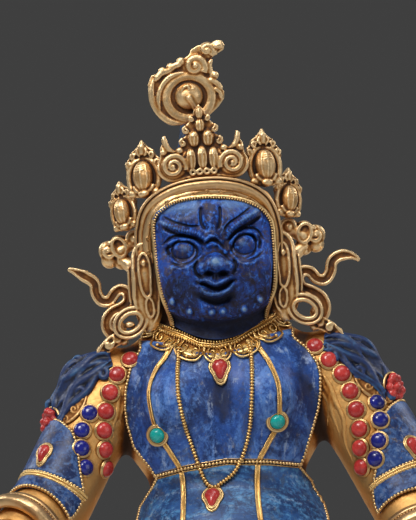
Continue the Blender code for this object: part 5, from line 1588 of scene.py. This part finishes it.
crown = {
    "skin": 0.00029,
    "band": [(60, 214), (63, 236), (66, 258), (67, 287), (62, 309), (53, 321.5), (38, 330.5), (20, 335.5),
             (0, 337)],
    "leaf": [(0, -3), (9, -1), (15, 5), (19, 16), (18, 24), (20, 30), (18, 38), (14, 42), (12, 47), (6, 51),
             (0, 58)],
    "leaves": {
        "inner": dict(x=61, y=-26, z=332, size=0.96, yaw=20, roll=2),
        "outer": dict(x=85, y=-8, z=303, size=0.84, yaw=34, roll=10)},
    "middle": [(0, 346), (12, 345), (20, 343), (32, 341), (42, 347), (46, 356), (42, 366), (41, 375), (35, 385),
               (31, 375), (26, 371), (21, 373), (20, 382), (14, 386), (14, 396), (8, 401), (5, 410), (0, 416)],
    "bulbs": [(0, 363, 6.4, 12), (11.2, 362, 6.2, 11.2), (6.9, 382, 6.4, 8.4), (0, 395, 5.4, 7),
              (0, 407, 4, 6.4)],
}


def ribbed(form, x, y, z, radii, ribs, nicks=3):
    # a fruit-like bulb with thin upright ribs and a few nicks across its brow
    form.ball((x, y, z), radii, around=22, up=16)
    wide, deep, tall = radii

    def out(across, up):
        return deep * np.sqrt(np.maximum(0.02, 1 - (across / wide) ** 2 - (up / tall) ** 2))

    rise = np.linspace(-1.15, 1.15, 12)
    for k in range(ribs):
        u = (k + 0.5) / ribs * 2 - 1
        across, up = np.cos(rise) * wide * u * 0.92, np.sin(rise) * tall
        form.wire(spots(x + across, y - out(across, up), z + up), 0.75, sides=6, taper=0.2)
    for k in range(nicks):
        across, up = np.linspace(-0.45, 0.45, 5) * wide, tall * (0.35 + 0.16 * k)
        nick = spots(x + across, y - out(across, up) - 0.2, z + up + across * 0.15)
        form.wire(nick, 0.65, sides=6, taper=0.3)


def leafForm():
    # one side leaf, upright at the origin: a bulb in its sheath under curling flames
    form = Form()
    plateOf(form, mirroredOutline(crown["leaf"]), 0.4, 4.6)
    ribbed(form, 0, -1.8, 20, (11.0, 9.2, 16.0), 3)
    for side in (-1, 1):
        drawnAt(form, flipped(side, [(1, -1), (9, 1.5), (14.5, 8), (16.4, 17), (15.4, 26), (10.5, 34.5),
                                     (3, 38.5)]), -0.2, 3.2, 0.16, 0.75)
        drawnAt(form, flipped(side, [(1, 3), (7.5, 5), (11.5, 11)]), -3.0, 2.3, 0.25)
        form.ball((side * 12.6, -0.6, 2.8), (5.0, 3.6, 4.2), around=14)
        for x, z, r in ((15.2, 34, 5.2), (9.6, 42.5, 5.4)):   # flame lobes, each round a drilled hole
            scrollAt(form, side * x, z, r, -0.8, 1.5, 1.0, 250 if side > 0 else -70, side, knob=False)
        drawnAt(form, flipped(side, [(2.4, 40.5), (5.2, 46), (2.0, 51.5)]), -1.2, 1.8, 0.3)
    form.limb([((0, -0.6, 45), 3.4), ((0, -0.9, 51), 4.0), ((0, 0.4, 57), 1.6)], 12)
    form.ball((0, -2.8, 1.6), (6.6, 4.8, 4.6), around=16)
    return form


def makeCrown():
    # the head band: a round moulding with a bright lip above a groove
    arch = flipped(-1, crown["band"]) + crown["band"][-2::-1]
    line = evenly(smoothLine(arch, 6), 2.4)
    points, _ = laid(line, 0.4, -24, 0)
    eased(points[:, 1], 40)
    form = Form()
    t = np.linspace(0, 1, len(line))
    form.sweep(points, (0, -1, 0), [(-6.6, -9), (6.8, -9), (6.8, 0.2), (5.4, 1.3), (3.6, 2.4), (1.6, 3.4),
                                    (-0.6, 3.6), (-2.2, 2.7), (-2.9, 1.3), (-3.4, 1.4), (-4.1, 3.1),
                                    (-5.2, 3.4), (-6.2, 2.5),
                                    (-6.6, 0.6)], scale=np.clip(np.minimum(t, 1 - t) * 9, 0.55, 1))
    # the engraved strip under it, with running scrolls
    inner = [(x * 0.90 + 3 * (1 - 0.90), 262 + (z - 262) * 0.885) for x, z in arch]
    strip, _ = laid(evenly(smoothLine(inner, 6), 2.0), 1.2, -20, 30)
    form.sweep(strip, (0, -1, 0), [(-5.5, -7), (6.5, -7), (6.5, -0.8), (0, 0.3), (-5.5, -0.4)])
    rows = len(strip)
    for k in range(6, rows - 6, 7):
        x, y, z = strip[k]
        curl = spiral(x, z, 3.1, 1.1, 40 * k, 1 if (k // 7) % 2 else -1, 0.2, 12)
        form.wire(spots(curl[:, 0], y - 0.4, curl[:, 1]), 0.62, sides=6, taper=0.2)
    t = np.linspace(0, 1, rows)
    form.wire(strip + spots(0, -0.3, np.sin(t * rows / 7 * math.pi) * 1.8), 0.6, sides=6)
    finishPiece("head_band", form.mesh(), gilt, ["crown_band"], hollows=2)

    for level, at in crown["leaves"].items():
        for side, sign in sides:
            stand = (Matrix.Translation((sign * at["x"], at["y"], at["z"]))
                      @ Matrix.Rotation(math.radians(sign * at["yaw"]), 4, "Z")
                      @ Matrix.Rotation(math.radians(sign * at["roll"]), 4, "Y")
                      @ Matrix.Rotation(math.radians(-6), 4, "X") @ Matrix.Scale(at["size"], 4))
            node = f"crown_leaf_{level}_{side}"
            mesh = melted(Form().join(leafForm(), stand).mesh(), crown["skin"], 1)
            finishPiece(f"flame_leaf_{level}_{side}", settled(mesh, node), crownGilt, [node], hollows=4)


def makeMiddleLeaf():
    front = -44.0
    form = Form()
    plateOf(form, mirroredOutline(crown["middle"]), front, front + 6.4)
    for x, z, wide, tall in crown["bulbs"]:
        for side in ((-1, 1) if x else (1,)):
            ribbed(form, side * x, front, z, (wide, 5.2, tall), 3, 3 if tall > 7 else 0)
    for side in (-1, 1):
        form.ball((side * 29, front, 356), (13, 4.2, 13), around=24, up=12)
        scrollAt(form, side * 29, 356, 14.6, front - 3.2, 1.9, 1.9, 200 if side > 0 else -20, -side, 2.2)
        drawnAt(form, flipped(side, [(27, 370), (31, 372), (34.5, 376), (36.5, 384), (35, 387)]),
                front - 0.5, 3.0, 0.35)
        scrollAt(form, side * 38, 371, 4.6, front - 0.5, 1.6, 1.1, 120, side)
        for x, z, radius in ((13.8, 390.5, 5.2), (17.6, 378.5, 5.4), (7.4, 401.5, 4.2)):
            scrollAt(form, side * x, z, radius, front - 1.0, 1.35, 1.0, 90, -side, knob=False)
        drawnAt(form, flipped(side, [(16, 370), (19, 363), (17, 354), (12, 349)]), front - 1.0, 2.0, 0.2)
        form.ball((side * 22, front - 0.6, 371), (4.0, 3.0, 3.4), around=14)
        drawnAt(form, flipped(side, [(16, 345), (26, 342), (36, 344), (43, 351), (44, 360)]),
                front + 0.4, 2.4, 0.2)
    for x in (-10.5, -3.5, 3.5, 10.5):
        ringAt(form, x, front - 2.2, 349, 2.4, 2.4, 1.35, 14)
    drawnAt(form, [(-17, 344), (0, 345.5), (17, 344)], front - 0.4, 1.8, 0.1)
    mesh = melted(form.mesh(), crown["skin"], 1)
    finishPiece("flame_leaf_middle", settled(mesh, "crown_leaf_middle", (1,)), crownGilt,
                ["crown_leaf_middle"], hollows=4)


crest = {
    "outline": [(-17, 398), (-3, 401), (-1, 405), (11, 405.5), (20, 413), (26.5, 421), (27, 428), (21, 435),
                (17, 443), (17, 453), (15, 461), (22, 465.5), (29.5, 469.5), (31, 474), (25, 478.5),
                (16, 476.5), (4.5, 475.5), (-3, 471.8), (-6, 465), (-15, 462.5), (-19, 457), (-26, 456),
                (-36, 451.5), (-44.5, 449), (-48.5, 440), (-48.5, 427), (-44, 414), (-36, 404), (-27, 398)],
    "ridges": [
        # a line of (x, z), its half width and how far it stands out
        ([(-13, 398.5), (-27, 400.5), (-38, 409), (-44.5, 421), (-45.5, 434), (-42, 446)], 3.4, 0.4),
        ([(-38.5, 414), (-39, 427), (-34, 438.5), (-25, 446.5), (-12, 449.5)], 2.6, 1.4),
        ([(-41, 443.5), (-34, 450.5), (-24, 452.5)], 3.2, 1.2),
        ([(-29, 450), (-21, 456.5), (-13, 458)], 3.2, 1.4),
        ([(17.5, 461), (14.6, 455), (15.2, 448), (19.5, 443)], 2.6, 0.8),
        ([(12, 441.5), (19, 437), (25.5, 430)], 3.0, 0.6), ([(17, 432), (22.5, 427), (23.5, 420)], 2.2, 0.8),
        ([(17, 473.5), (24, 477), (30, 474.5)], 2.6, 1.0)],
    "scrolls": [
        # centre, size, wire, turns, start and hand
        (0, 455, 13.4, 2.9, 1.45, -42, 1), (13, 470, 8.6, 2.2, 1.3, -60, 1),
        (18.5, 444.5, 4.4, 1.3, 1.0, 200, -1)],
    "knobs": [(-33, 452.5, 4.2), (-24.5, 456, 4.4), (-14, 460.5, 4.6), (20.5, 467.5, 3.4)],
}


def makeCrest():
    front = -22.0
    form = Form()
    plateOf(form, crest["outline"], front, front + 8)
    # the broad flat crescent that holds the boss
    ringAt(form, -8.5, front, 424.5, 22.5, 21, 5.2, 40, 0.42)
    for line, width, rise in crest["ridges"]:
        drawnAt(form, line, front - rise, width, 0.22, 0.55)
    for x, z, radius, wire, turns, start, hand in crest["scrolls"]:
        form.ball((x, front + 0.5, z), (radius, 2.6, radius), around=20)
        scrollAt(form, x, z, radius, front - 1.2, wire, turns, start, hand)
    for x, z, radius in crest["knobs"]:
        form.ball((x, front + 0.6, z), (radius, 3.4, radius), around=14)
    form.ball((24.5, front, 473.5), (6.5, 4.2, 3.8), around=18)
    # the boss in its cup, with the stem that holds it
    form.ball((-8.5, front - 1, 425.5), (14.2, 9.4, 13.4), around=30, up=20)
    drawnAt(form, [(-16.5, 430), (-12.5, 434.5), (-8.4, 435), (-7.6, 431), (-3, 433)], front - 8.6, 1.6, 0.3)
    form.limb([((-8.6, front - 9.6, 423.5), 3.4), ((-5, front - 7.0, 417), 2.7),
               ((-1, front - 1, 409), 3.0)], 12)
    mesh = melted(form.mesh(), crown["skin"], 1)
    finishPiece("flame_crest", settled(mesh, "crest", (1,)), crownGilt, ["crest"], hollows=4)


bows = {
    "skin": 0.00037, "centre": 3.0,
    "ear": ((68, -22, 240), (17, 10.5, 46)),
    "ribbons": {
        "right": [(-143, 263), (-136, 260), (-126, 254), (-117.5, 247), (-116.5, 237), (-112, 229), (-104, 228),
                  (-98, 235), (-92, 238.5), (-85.5, 235), (-85.5, 226), (-92, 220.5), (-101, 217),
                  (-107.5, 209.5), (-107.5, 199), (-99, 191)],
        "left": [(149, 249), (141, 254.5), (130, 255.5), (121.5, 250), (119, 240), (113, 232.5), (105, 234),
                 (98.5, 241.5), (91, 242.5), (86.5, 236), (89, 227), (98, 222.5), (107, 216), (111, 206),
                 (108, 197), (99, 192)]},
    "earring": dict(x=87, z=205, long=14.5, short=11, tilt=32),
}


def makeBow(side, sign):
    form, centre = Form(), bows["centre"]

    def across(x):
        return centre + sign * x

    def mirrored(line):
        return [(across(x), z) for x, z in line]

    # the long ear: helix, folds and lobe
    (ex, ey, ez), (rx, ry, rz) = bows["ear"]
    form.ball((across(ex), ey, ez), (rx, ry, rz), around=30, up=22)

    def onEar(line, radius, lift, closed=False):
        line = smoothLine(line, 5)
        u, v = (line[:, 0] - ex) / rx, (line[:, 1] - ez) / rz
        depth = ey - ry * np.sqrt(np.maximum(0.05, 1 - u ** 2 - v ** 2)) - lift
        points = spots(across(line[:, 0]), depth, line[:, 1])
        form.wire(points[:-1] if closed else points, radius, closed=closed, taper=0 if closed else 0.15)

    onEar([(60, 262), (61, 273), (66, 281), (73, 281), (78.5, 273), (80, 262), (80.5, 245), (81, 228),
           (79, 214)],
          2.4, 0.6)
    onEar([(64, 240), (63, 256), (65, 268), (69.5, 273), (74, 267), (75, 254), (73.5, 238), (69, 229),
           (64.5, 232), (64, 240)], 1.5, 0.8, True)
    onEar([(85, 262), (85.5, 246), (85.8, 232), (84, 218)], 1.5, 0.6)
    onEar([(57, 262), (56, 244), (56.5, 228), (59, 212), (63, 203)], 1.6, 0.4)
    onEar([(63, 224), (66.5, 228.5), (70, 224), (69.5, 214), (66, 208.5), (62.5, 214),
           (63, 224)], 1.1, 0.8, True)
    form.ball((across(69.5), ey - ry * 0.9, 263), (2.6, 2.4, 3.2), around=12)

    # the boss above the ear and the rosette of curling ends
    bx, bz, depth = 77.5, 288, 5.0
    form.ball((across(bx), depth, bz), (9.5, 6.5, 9.5), around=22)
    ringAt(form, across(bx), depth - 4.2, bz, 7.2, 7.2, 1.7)
    form.ball((across(bx), depth - 4.5, bz), (4.2, 3.0, 4.2), around=16)
    form.limb([((across(80), depth, 284), 6), ((across(92), depth, 277), 7)], 16)
    form.limb([((across(84), 2, 262), 7), ((across(92), depth, 268), 6)], 16)
    for x, z, r in ((104, 278, 10.5), (93, 284, 9.5), (91.5, 267, 9), (104, 268.5, 8.5)):
        form.ball((across(x), depth + 1, z), (r, 5.5, r), around=20)
    scrollAt(form, across(104.5), 277.5, 10.6, depth - 4.0, 1.9, 1.3, 90, sign, 1.0)
    scrollAt(form, across(92), 267, 7.6, depth - 4.2, 1.7, 1.2, -60, -sign, 1.0)
    angle = circle(24)
    slant = sign * 1.4 * np.sin(angle)
    ringAt(form, across(93) + slant, depth - 5.0, 280.5, 7, 9.6, 2.0)

    # the fluttering ribbon, with two raised edges
    line = evenly(smoothLine(bows["ribbons"][side], 5), 1.8)
    t = np.linspace(0, 1, len(line))
    points = spots(line[:, 0], -4 + 3 * np.sin(t * 5.5), line[:, 1])
    form.sweep(points, (0, -1, 0), [(-5.6, -3.2), (5.6, -3.2), (6.0, 1.2), (4.9, 3.2), (3.2, 3.2), (2.0, 1.0),
                                    (-2.0, 1.0), (-3.2, 3.2), (-4.9, 3.2), (-6.0, 1.2)],
               scale=np.clip(0.30 + t * 6.0, 0.30, 1.0))
    form.ball((across(101), 0, 200), (9, 4.5, 8), around=18)

    # the ring in the lobe, the knob in it and the tuft below
    ring = bows["earring"]
    tilt = math.radians(ring["tilt"]) * (1 if sign < 0 else -1)
    angle = circle(48)
    u, v = ring["long"] * np.cos(angle), ring["short"] * np.sin(angle)
    loop = spots(across(ring["x"]) + u * math.cos(tilt) - v * math.sin(tilt), -26.0,
                 ring["z"] + u * math.sin(tilt) + v * math.cos(tilt))
    form.sweep(loop, (0, -1, 0), [(-4.4, -3.6), (4.4, -3.6), (4.6, 1.8), (3.4, 3.6), (2.1, 3.4), (1.1, 1.8),
                                  (0.1, 1.8), (-1.0, 3.9), (-3.0, 4.1), (-4.5, 2.4)], closed=True)
    if sign < 0:
        form.ball((across(ring["x"]) - 1, -24, ring["z"] - 2), (5.4, 3.4, 3.4), around=16)
    form.limb([((across(82), -8, 220), 6), ((across(83), -15, 217), 5.4)], 14)
    for x, y, z, r in ((98, -17, 193, 5.6), (104, -18, 189, 5.4), (111, -18, 185, 6.0), (118, -17, 179, 5.4),
                       (123, -16, 173, 4.2), (95, -18, 187, 4.6)):
        form.ball((across(x), y, z), (r, r * 0.8, r), around=16)
    scrollAt(form, across(110.5), 184.5, 6.0, -23.4, 1.4, 1.3, 30, sign, 0.6)
    scrollAt(form, across(101), 190, 5.2, -22.4, 1.3, 1.3, 140, -sign, 0.6)
    drawnAt(form, mirrored([(95, 196), (105, 194), (115, 187), (122, 178), (124, 171)]), -21.0, 1.6, 0.15)
    drawnAt(form, mirrored([(92, 187), (103, 183), (112, 177), (121, 171)]), -20.0, 1.5, 0.15)
    mesh = melted(form.mesh(), bows["skin"], 1)
    finishPiece(f"ear_and_bow_{side}", mesh, crownGilt, [f"ear_bow_{side}"], hollows=4)


armRings = {
    "armletShare": 0.545, "armletFrom": -36, "armletTo": 154,
    "braceletShare": 0.80, "braceletWidth": 0.0085 / part, "braceletHeight": 0.0036 / part,
    "braceletSteps": [(0, 0.35), (0.05, 0.85), (0.15, 1.0), (0.42, 1.0), (0.50, 0.86), (0.55, 0.52),
                      (0.62, 0.50), (0.66, 0.68), (0.78, 0.70), (0.84, 0.42), (0.92, 0.52), (1.0, 0.30)],
    "bore": 0.0006 / part,
}


def makeArmRings():
    for side, chain in arms.items():
        share = armRings["armletShare"]
        degrees = np.linspace(armRings["armletFrom"], armRings["armletTo"], 70)
        points, outs = armPoint(chain, share, degrees, plates["gap"] + 0.8)
        along = armFrames(chain, [share])[1][0]
        form = Form()
        form.sweep(points, outs, [(-3.0, -3), (3.0, -3), (3.0, 1.4), (-3.0, 1.4)])
        for shift, hand in ((-1.5, 1), (1.5, -1)):
            rope(form, points + along * shift + outs * 2.2, outs, 1.55, 2.0, hand)
        for shift in (-3.6, 3.6):
            form.wire(points + along * shift + outs * 1.1, 0.9, out=outs, sides=6)
        finishPiece(f"twisted_armlet_{side}", form.mesh(), filigree, [f"armlet_{side}"],
                    hollows=1)

        centre, along, front, outer = (v[0] for v in armFrames(chain, [armRings["braceletShare"]]))
        hand = np.sign(np.dot(np.cross(along, outer), front))
        angle = circle(64) * hand
        spokes = np.outer(np.cos(angle), front) + np.outer(np.sin(angle), outer)
        wide, high = armRings["braceletWidth"], armRings["braceletHeight"]
        reach = 0.0
        for shift in (-0.5, 0, 0.5):
            for spoke in spokes[::4]:
                hit = castTree.ray_cast(Vector(centre + along * shift * wide) * part, Vector(spoke), 60 * part)
                reach = max(reach, 0 if hit[0] is None else hit[3] / part)
        bore = reach + armRings["bore"]
        rings = [centre + along * wide * 0.5 + spokes * bore]
        for shift, height in armRings["braceletSteps"]:
            rings.append(centre + along * (0.5 - shift) * wide + spokes * (bore + height * high))
        rings.append(centre - along * wide * 0.5 + spokes * bore)
        form = Form().rings(np.array(rings), closed=True)
        count = int(2 * math.pi * (bore + high * 0.62) / 3.2)
        turn = circle(count)
        places = np.outer(np.cos(turn), front) + np.outer(np.sin(turn), outer)
        form.beads(centre + along * (0.5 - 0.58) * wide + places * (bore + high * 0.62),
                   np.cross(places, along), 1.7, around=9, up=6)
        finishPiece(f"flanged_bracelet_{side}", form.mesh(), gilt, [f"bracelet_{side}"],
                    hollows=1)


lotus = {
    "width": 0.150, "depth": 0.098, "height": baseHeight, "petals": 20, "petalDepth": 0.0034,
    "profile": [(0, 1), (0.04, 1.01), (0.18, 1.0), (0.22, 0.955), (0.28, 0.93), (0.34, 0.93), (0.42, 0.955),
                (0.62, 0.965), (0.80, 0.885), (0.84, 0.87), (0.88, 0.89), (0.92, 0.90), (0.96, 0.90),
                (1.0, 0.89)],
}


def makeLotus():
    # petals all round, a second row behind them, a pearl string above and a plain foot
    angle = circle(360)
    share = np.linspace(0, 1, 52)[:, None]
    half = readOff(lotus["profile"], share)
    count = lotus["petals"]

    def petalRow(shift):
        u = ((angle[None] * count / (2 * math.pi) + shift) % 1.0) * 2 - 1
        v = np.clip((share - 0.30) / 0.52, 0, 1)
        wide = 0.97 * np.sqrt(np.clip(1 - (v * 1.02) ** 3.2, 0.0001, 1)) * (0.82 + 0.18 * np.clip(v * 5, 0, 1))
        inside = np.clip(1 - (np.abs(u) / wide) ** 2, 0, 1)
        body = inside ** 0.42 * np.sin(math.pi * np.clip(v * 0.86 + 0.12, 0, 1)) ** 0.7
        rim = np.exp(-((np.abs(u) / wide - 0.84) / 0.09) ** 2) * 0.16
        ridge = np.exp(-(u / 0.07) ** 2) * 0.12
        return (body + (rim + ridge) * (inside > 0)) * (share > 0.30) * (share < 0.83)

    relief = np.maximum(petalRow(0), petalRow(0.5) * 0.62)
    x = half * lotus["width"] / 2 * np.cos(angle)
    y = half * lotus["depth"] / 2 * np.sin(angle)
    out = unit(np.stack([np.cos(angle) / lotus["width"], np.sin(angle) / lotus["depth"]], 1))
    reach = relief * lotus["petalDepth"] * 0.95
    form = Form().rings(spots(x + out[:, 0] * reach, y + out[:, 1] * reach, share * lotus["height"]))
    line = spots(np.cos(angle) * lotus["width"] / 2 * 0.897, np.sin(angle) * lotus["depth"] / 2 * 0.897,
                 lotus["height"] * 0.885)
    beads = evenly(np.vstack([line, line[:1]]), 0.0027)[:-1]
    form.beads(beads, np.gradient(beads, axis=0), 0.00125, around=8, up=6)
    finishPiece("lotus_seat", form.mesh(1), gilt, ["lotus_base"], leaning=False, hollows=3)


folds = {
    "skin": 0.0005,
    "right": [[(84, 158), (90, 146), (96, 130), (100, 114), (102, 98)],
              [(92, 156), (97, 142), (103, 126), (107, 110), (108, 94), (110, 80)]],
    "left": [[(86, 160), (95, 150), (104, 134), (112, 118), (117, 98), (119, 78), (122, 56), (128, 36)],
             [(92, 148), (99, 134), (106, 118), (110, 98), (112, 78), (114, 60)],
             [(98, 142), (100, 126), (104, 110), (104, 94), (106, 78)]],
}


def makeFolds():
    # the gilt cloth at the armpits: soft folds from the collar stones down beside the chest
    form = Form()
    for side, sign in sides:
        for k, line in enumerate(folds[side]):
            line = evenly(smoothLine(flipped(sign, line), 6), 2.0)
            line[:, 0] += 1.3 * np.sin(line[:, 1] / 6.5 + 2 * k)
            points, outs = laid(line, -0.7, -10, 6)
            form.wire(points, 3.4 - 0.5 * k, out=outs, sides=12, taper=0.4, squash=0.75)
    finishPiece("cloth_folds", melted(form.mesh(), folds["skin"], 3), bodyGilt, hollows=6)


finishPiece("gilt_cast", castMesh, bodyGilt, ["gilt_figure"], hollows=5)
makeFolds()
makeCrown()
makeMiddleLeaf()
makeCrest()
for side, sign in sides:
    makeBow(side, sign)
makeArmRings()
makeLotus()
print("crown, bows, rings and lotus made")


# The stage: a plain pale floor, soft studio light and the photograph's view

stage = {
    "distance": 1.25, "aim": (-0.0072, 0.0, 0.2276), "tall": 0.1872, "lampAim": (0, 0, 0.2),
    "floorCorners": [[(-0.9, -0.9, 0), (0.9, -0.9, 0)], [(-0.9, 0.8, 0), (0.9, 0.8, 0)]],
    "floor": (0.62, 0.61, 0.59), "backdrop": (0.050, 0.050, 0.050), "roomLight": (0.125, 0.125, 0.13),
    "lamps": [
        # where it stands, its size, its power in watts and its tint
        ((-0.52, -0.80, 1.10), 0.42, 10.5, (1.0, 0.97, 0.93)),
        ((0.85, -0.80, 0.50), 0.50, 1.5, (1.0, 0.98, 0.96)),
        ((0.10, -0.35, 1.25), 0.50, 3.6, (1.0, 1.0, 1.0)),
        ((-0.85, 0.40, 0.70), 0.40, 3.0, (0.97, 0.98, 1.0)),
        ((0.80, 0.45, 0.75), 0.40, 2.6, (1.0, 0.97, 0.94))],
}


def makeStage():
    eye = bpy.data.cameras.new("view")
    eye.sensor_width = 36.0
    eye.lens = 36.0 * stage["distance"] / stage["tall"]
    eye.clip_end = 10
    camera = placed("view", eye)
    camera.location = Vector(stage["aim"]) - Vector((0, stage["distance"], 0))
    camera.rotation_euler = (math.radians(90), 0, 0)
    bpy.context.scene.camera = camera

    floor = placed("floor", Form().sheet(np.array(stage["floorCorners"])).mesh(1))
    pale = Finish("paleFloor", 0.8)
    pale.shader.inputs["Base Color"].default_value = (*stage["floor"], 1)
    floor.data.materials.append(pale.material)

    for place, size, watts, tint in stage["lamps"]:
        lamp = bpy.data.lights.new("softbox", "AREA")
        lamp.size, lamp.energy, lamp.color = size, watts, tint
        box = placed("softbox", lamp)
        box.location = place
        box.rotation_euler = (Vector(stage["lampAim"]) - Vector(place)).to_track_quat("-Z", "Y").to_euler()

    world = bpy.data.worlds.new("studio")
    world.use_nodes = True
    nodes, links = world.node_tree.nodes, world.node_tree.links
    seen = nodes.new("ShaderNodeLightPath")
    mixed = nodes.new("ShaderNodeMix")
    mixed.data_type = "RGBA"
    mixed.inputs[6].default_value = (*stage["roomLight"], 1)
    mixed.inputs[7].default_value = (*stage["backdrop"], 1)
    links.new(seen.outputs["Is Camera Ray"], mixed.inputs[0])
    links.new(mixed.outputs[2], nodes["Background"].inputs["Color"])
    bpy.context.scene.world = world
    bpy.context.scene.view_settings.view_transform = "Standard"


makeStage()
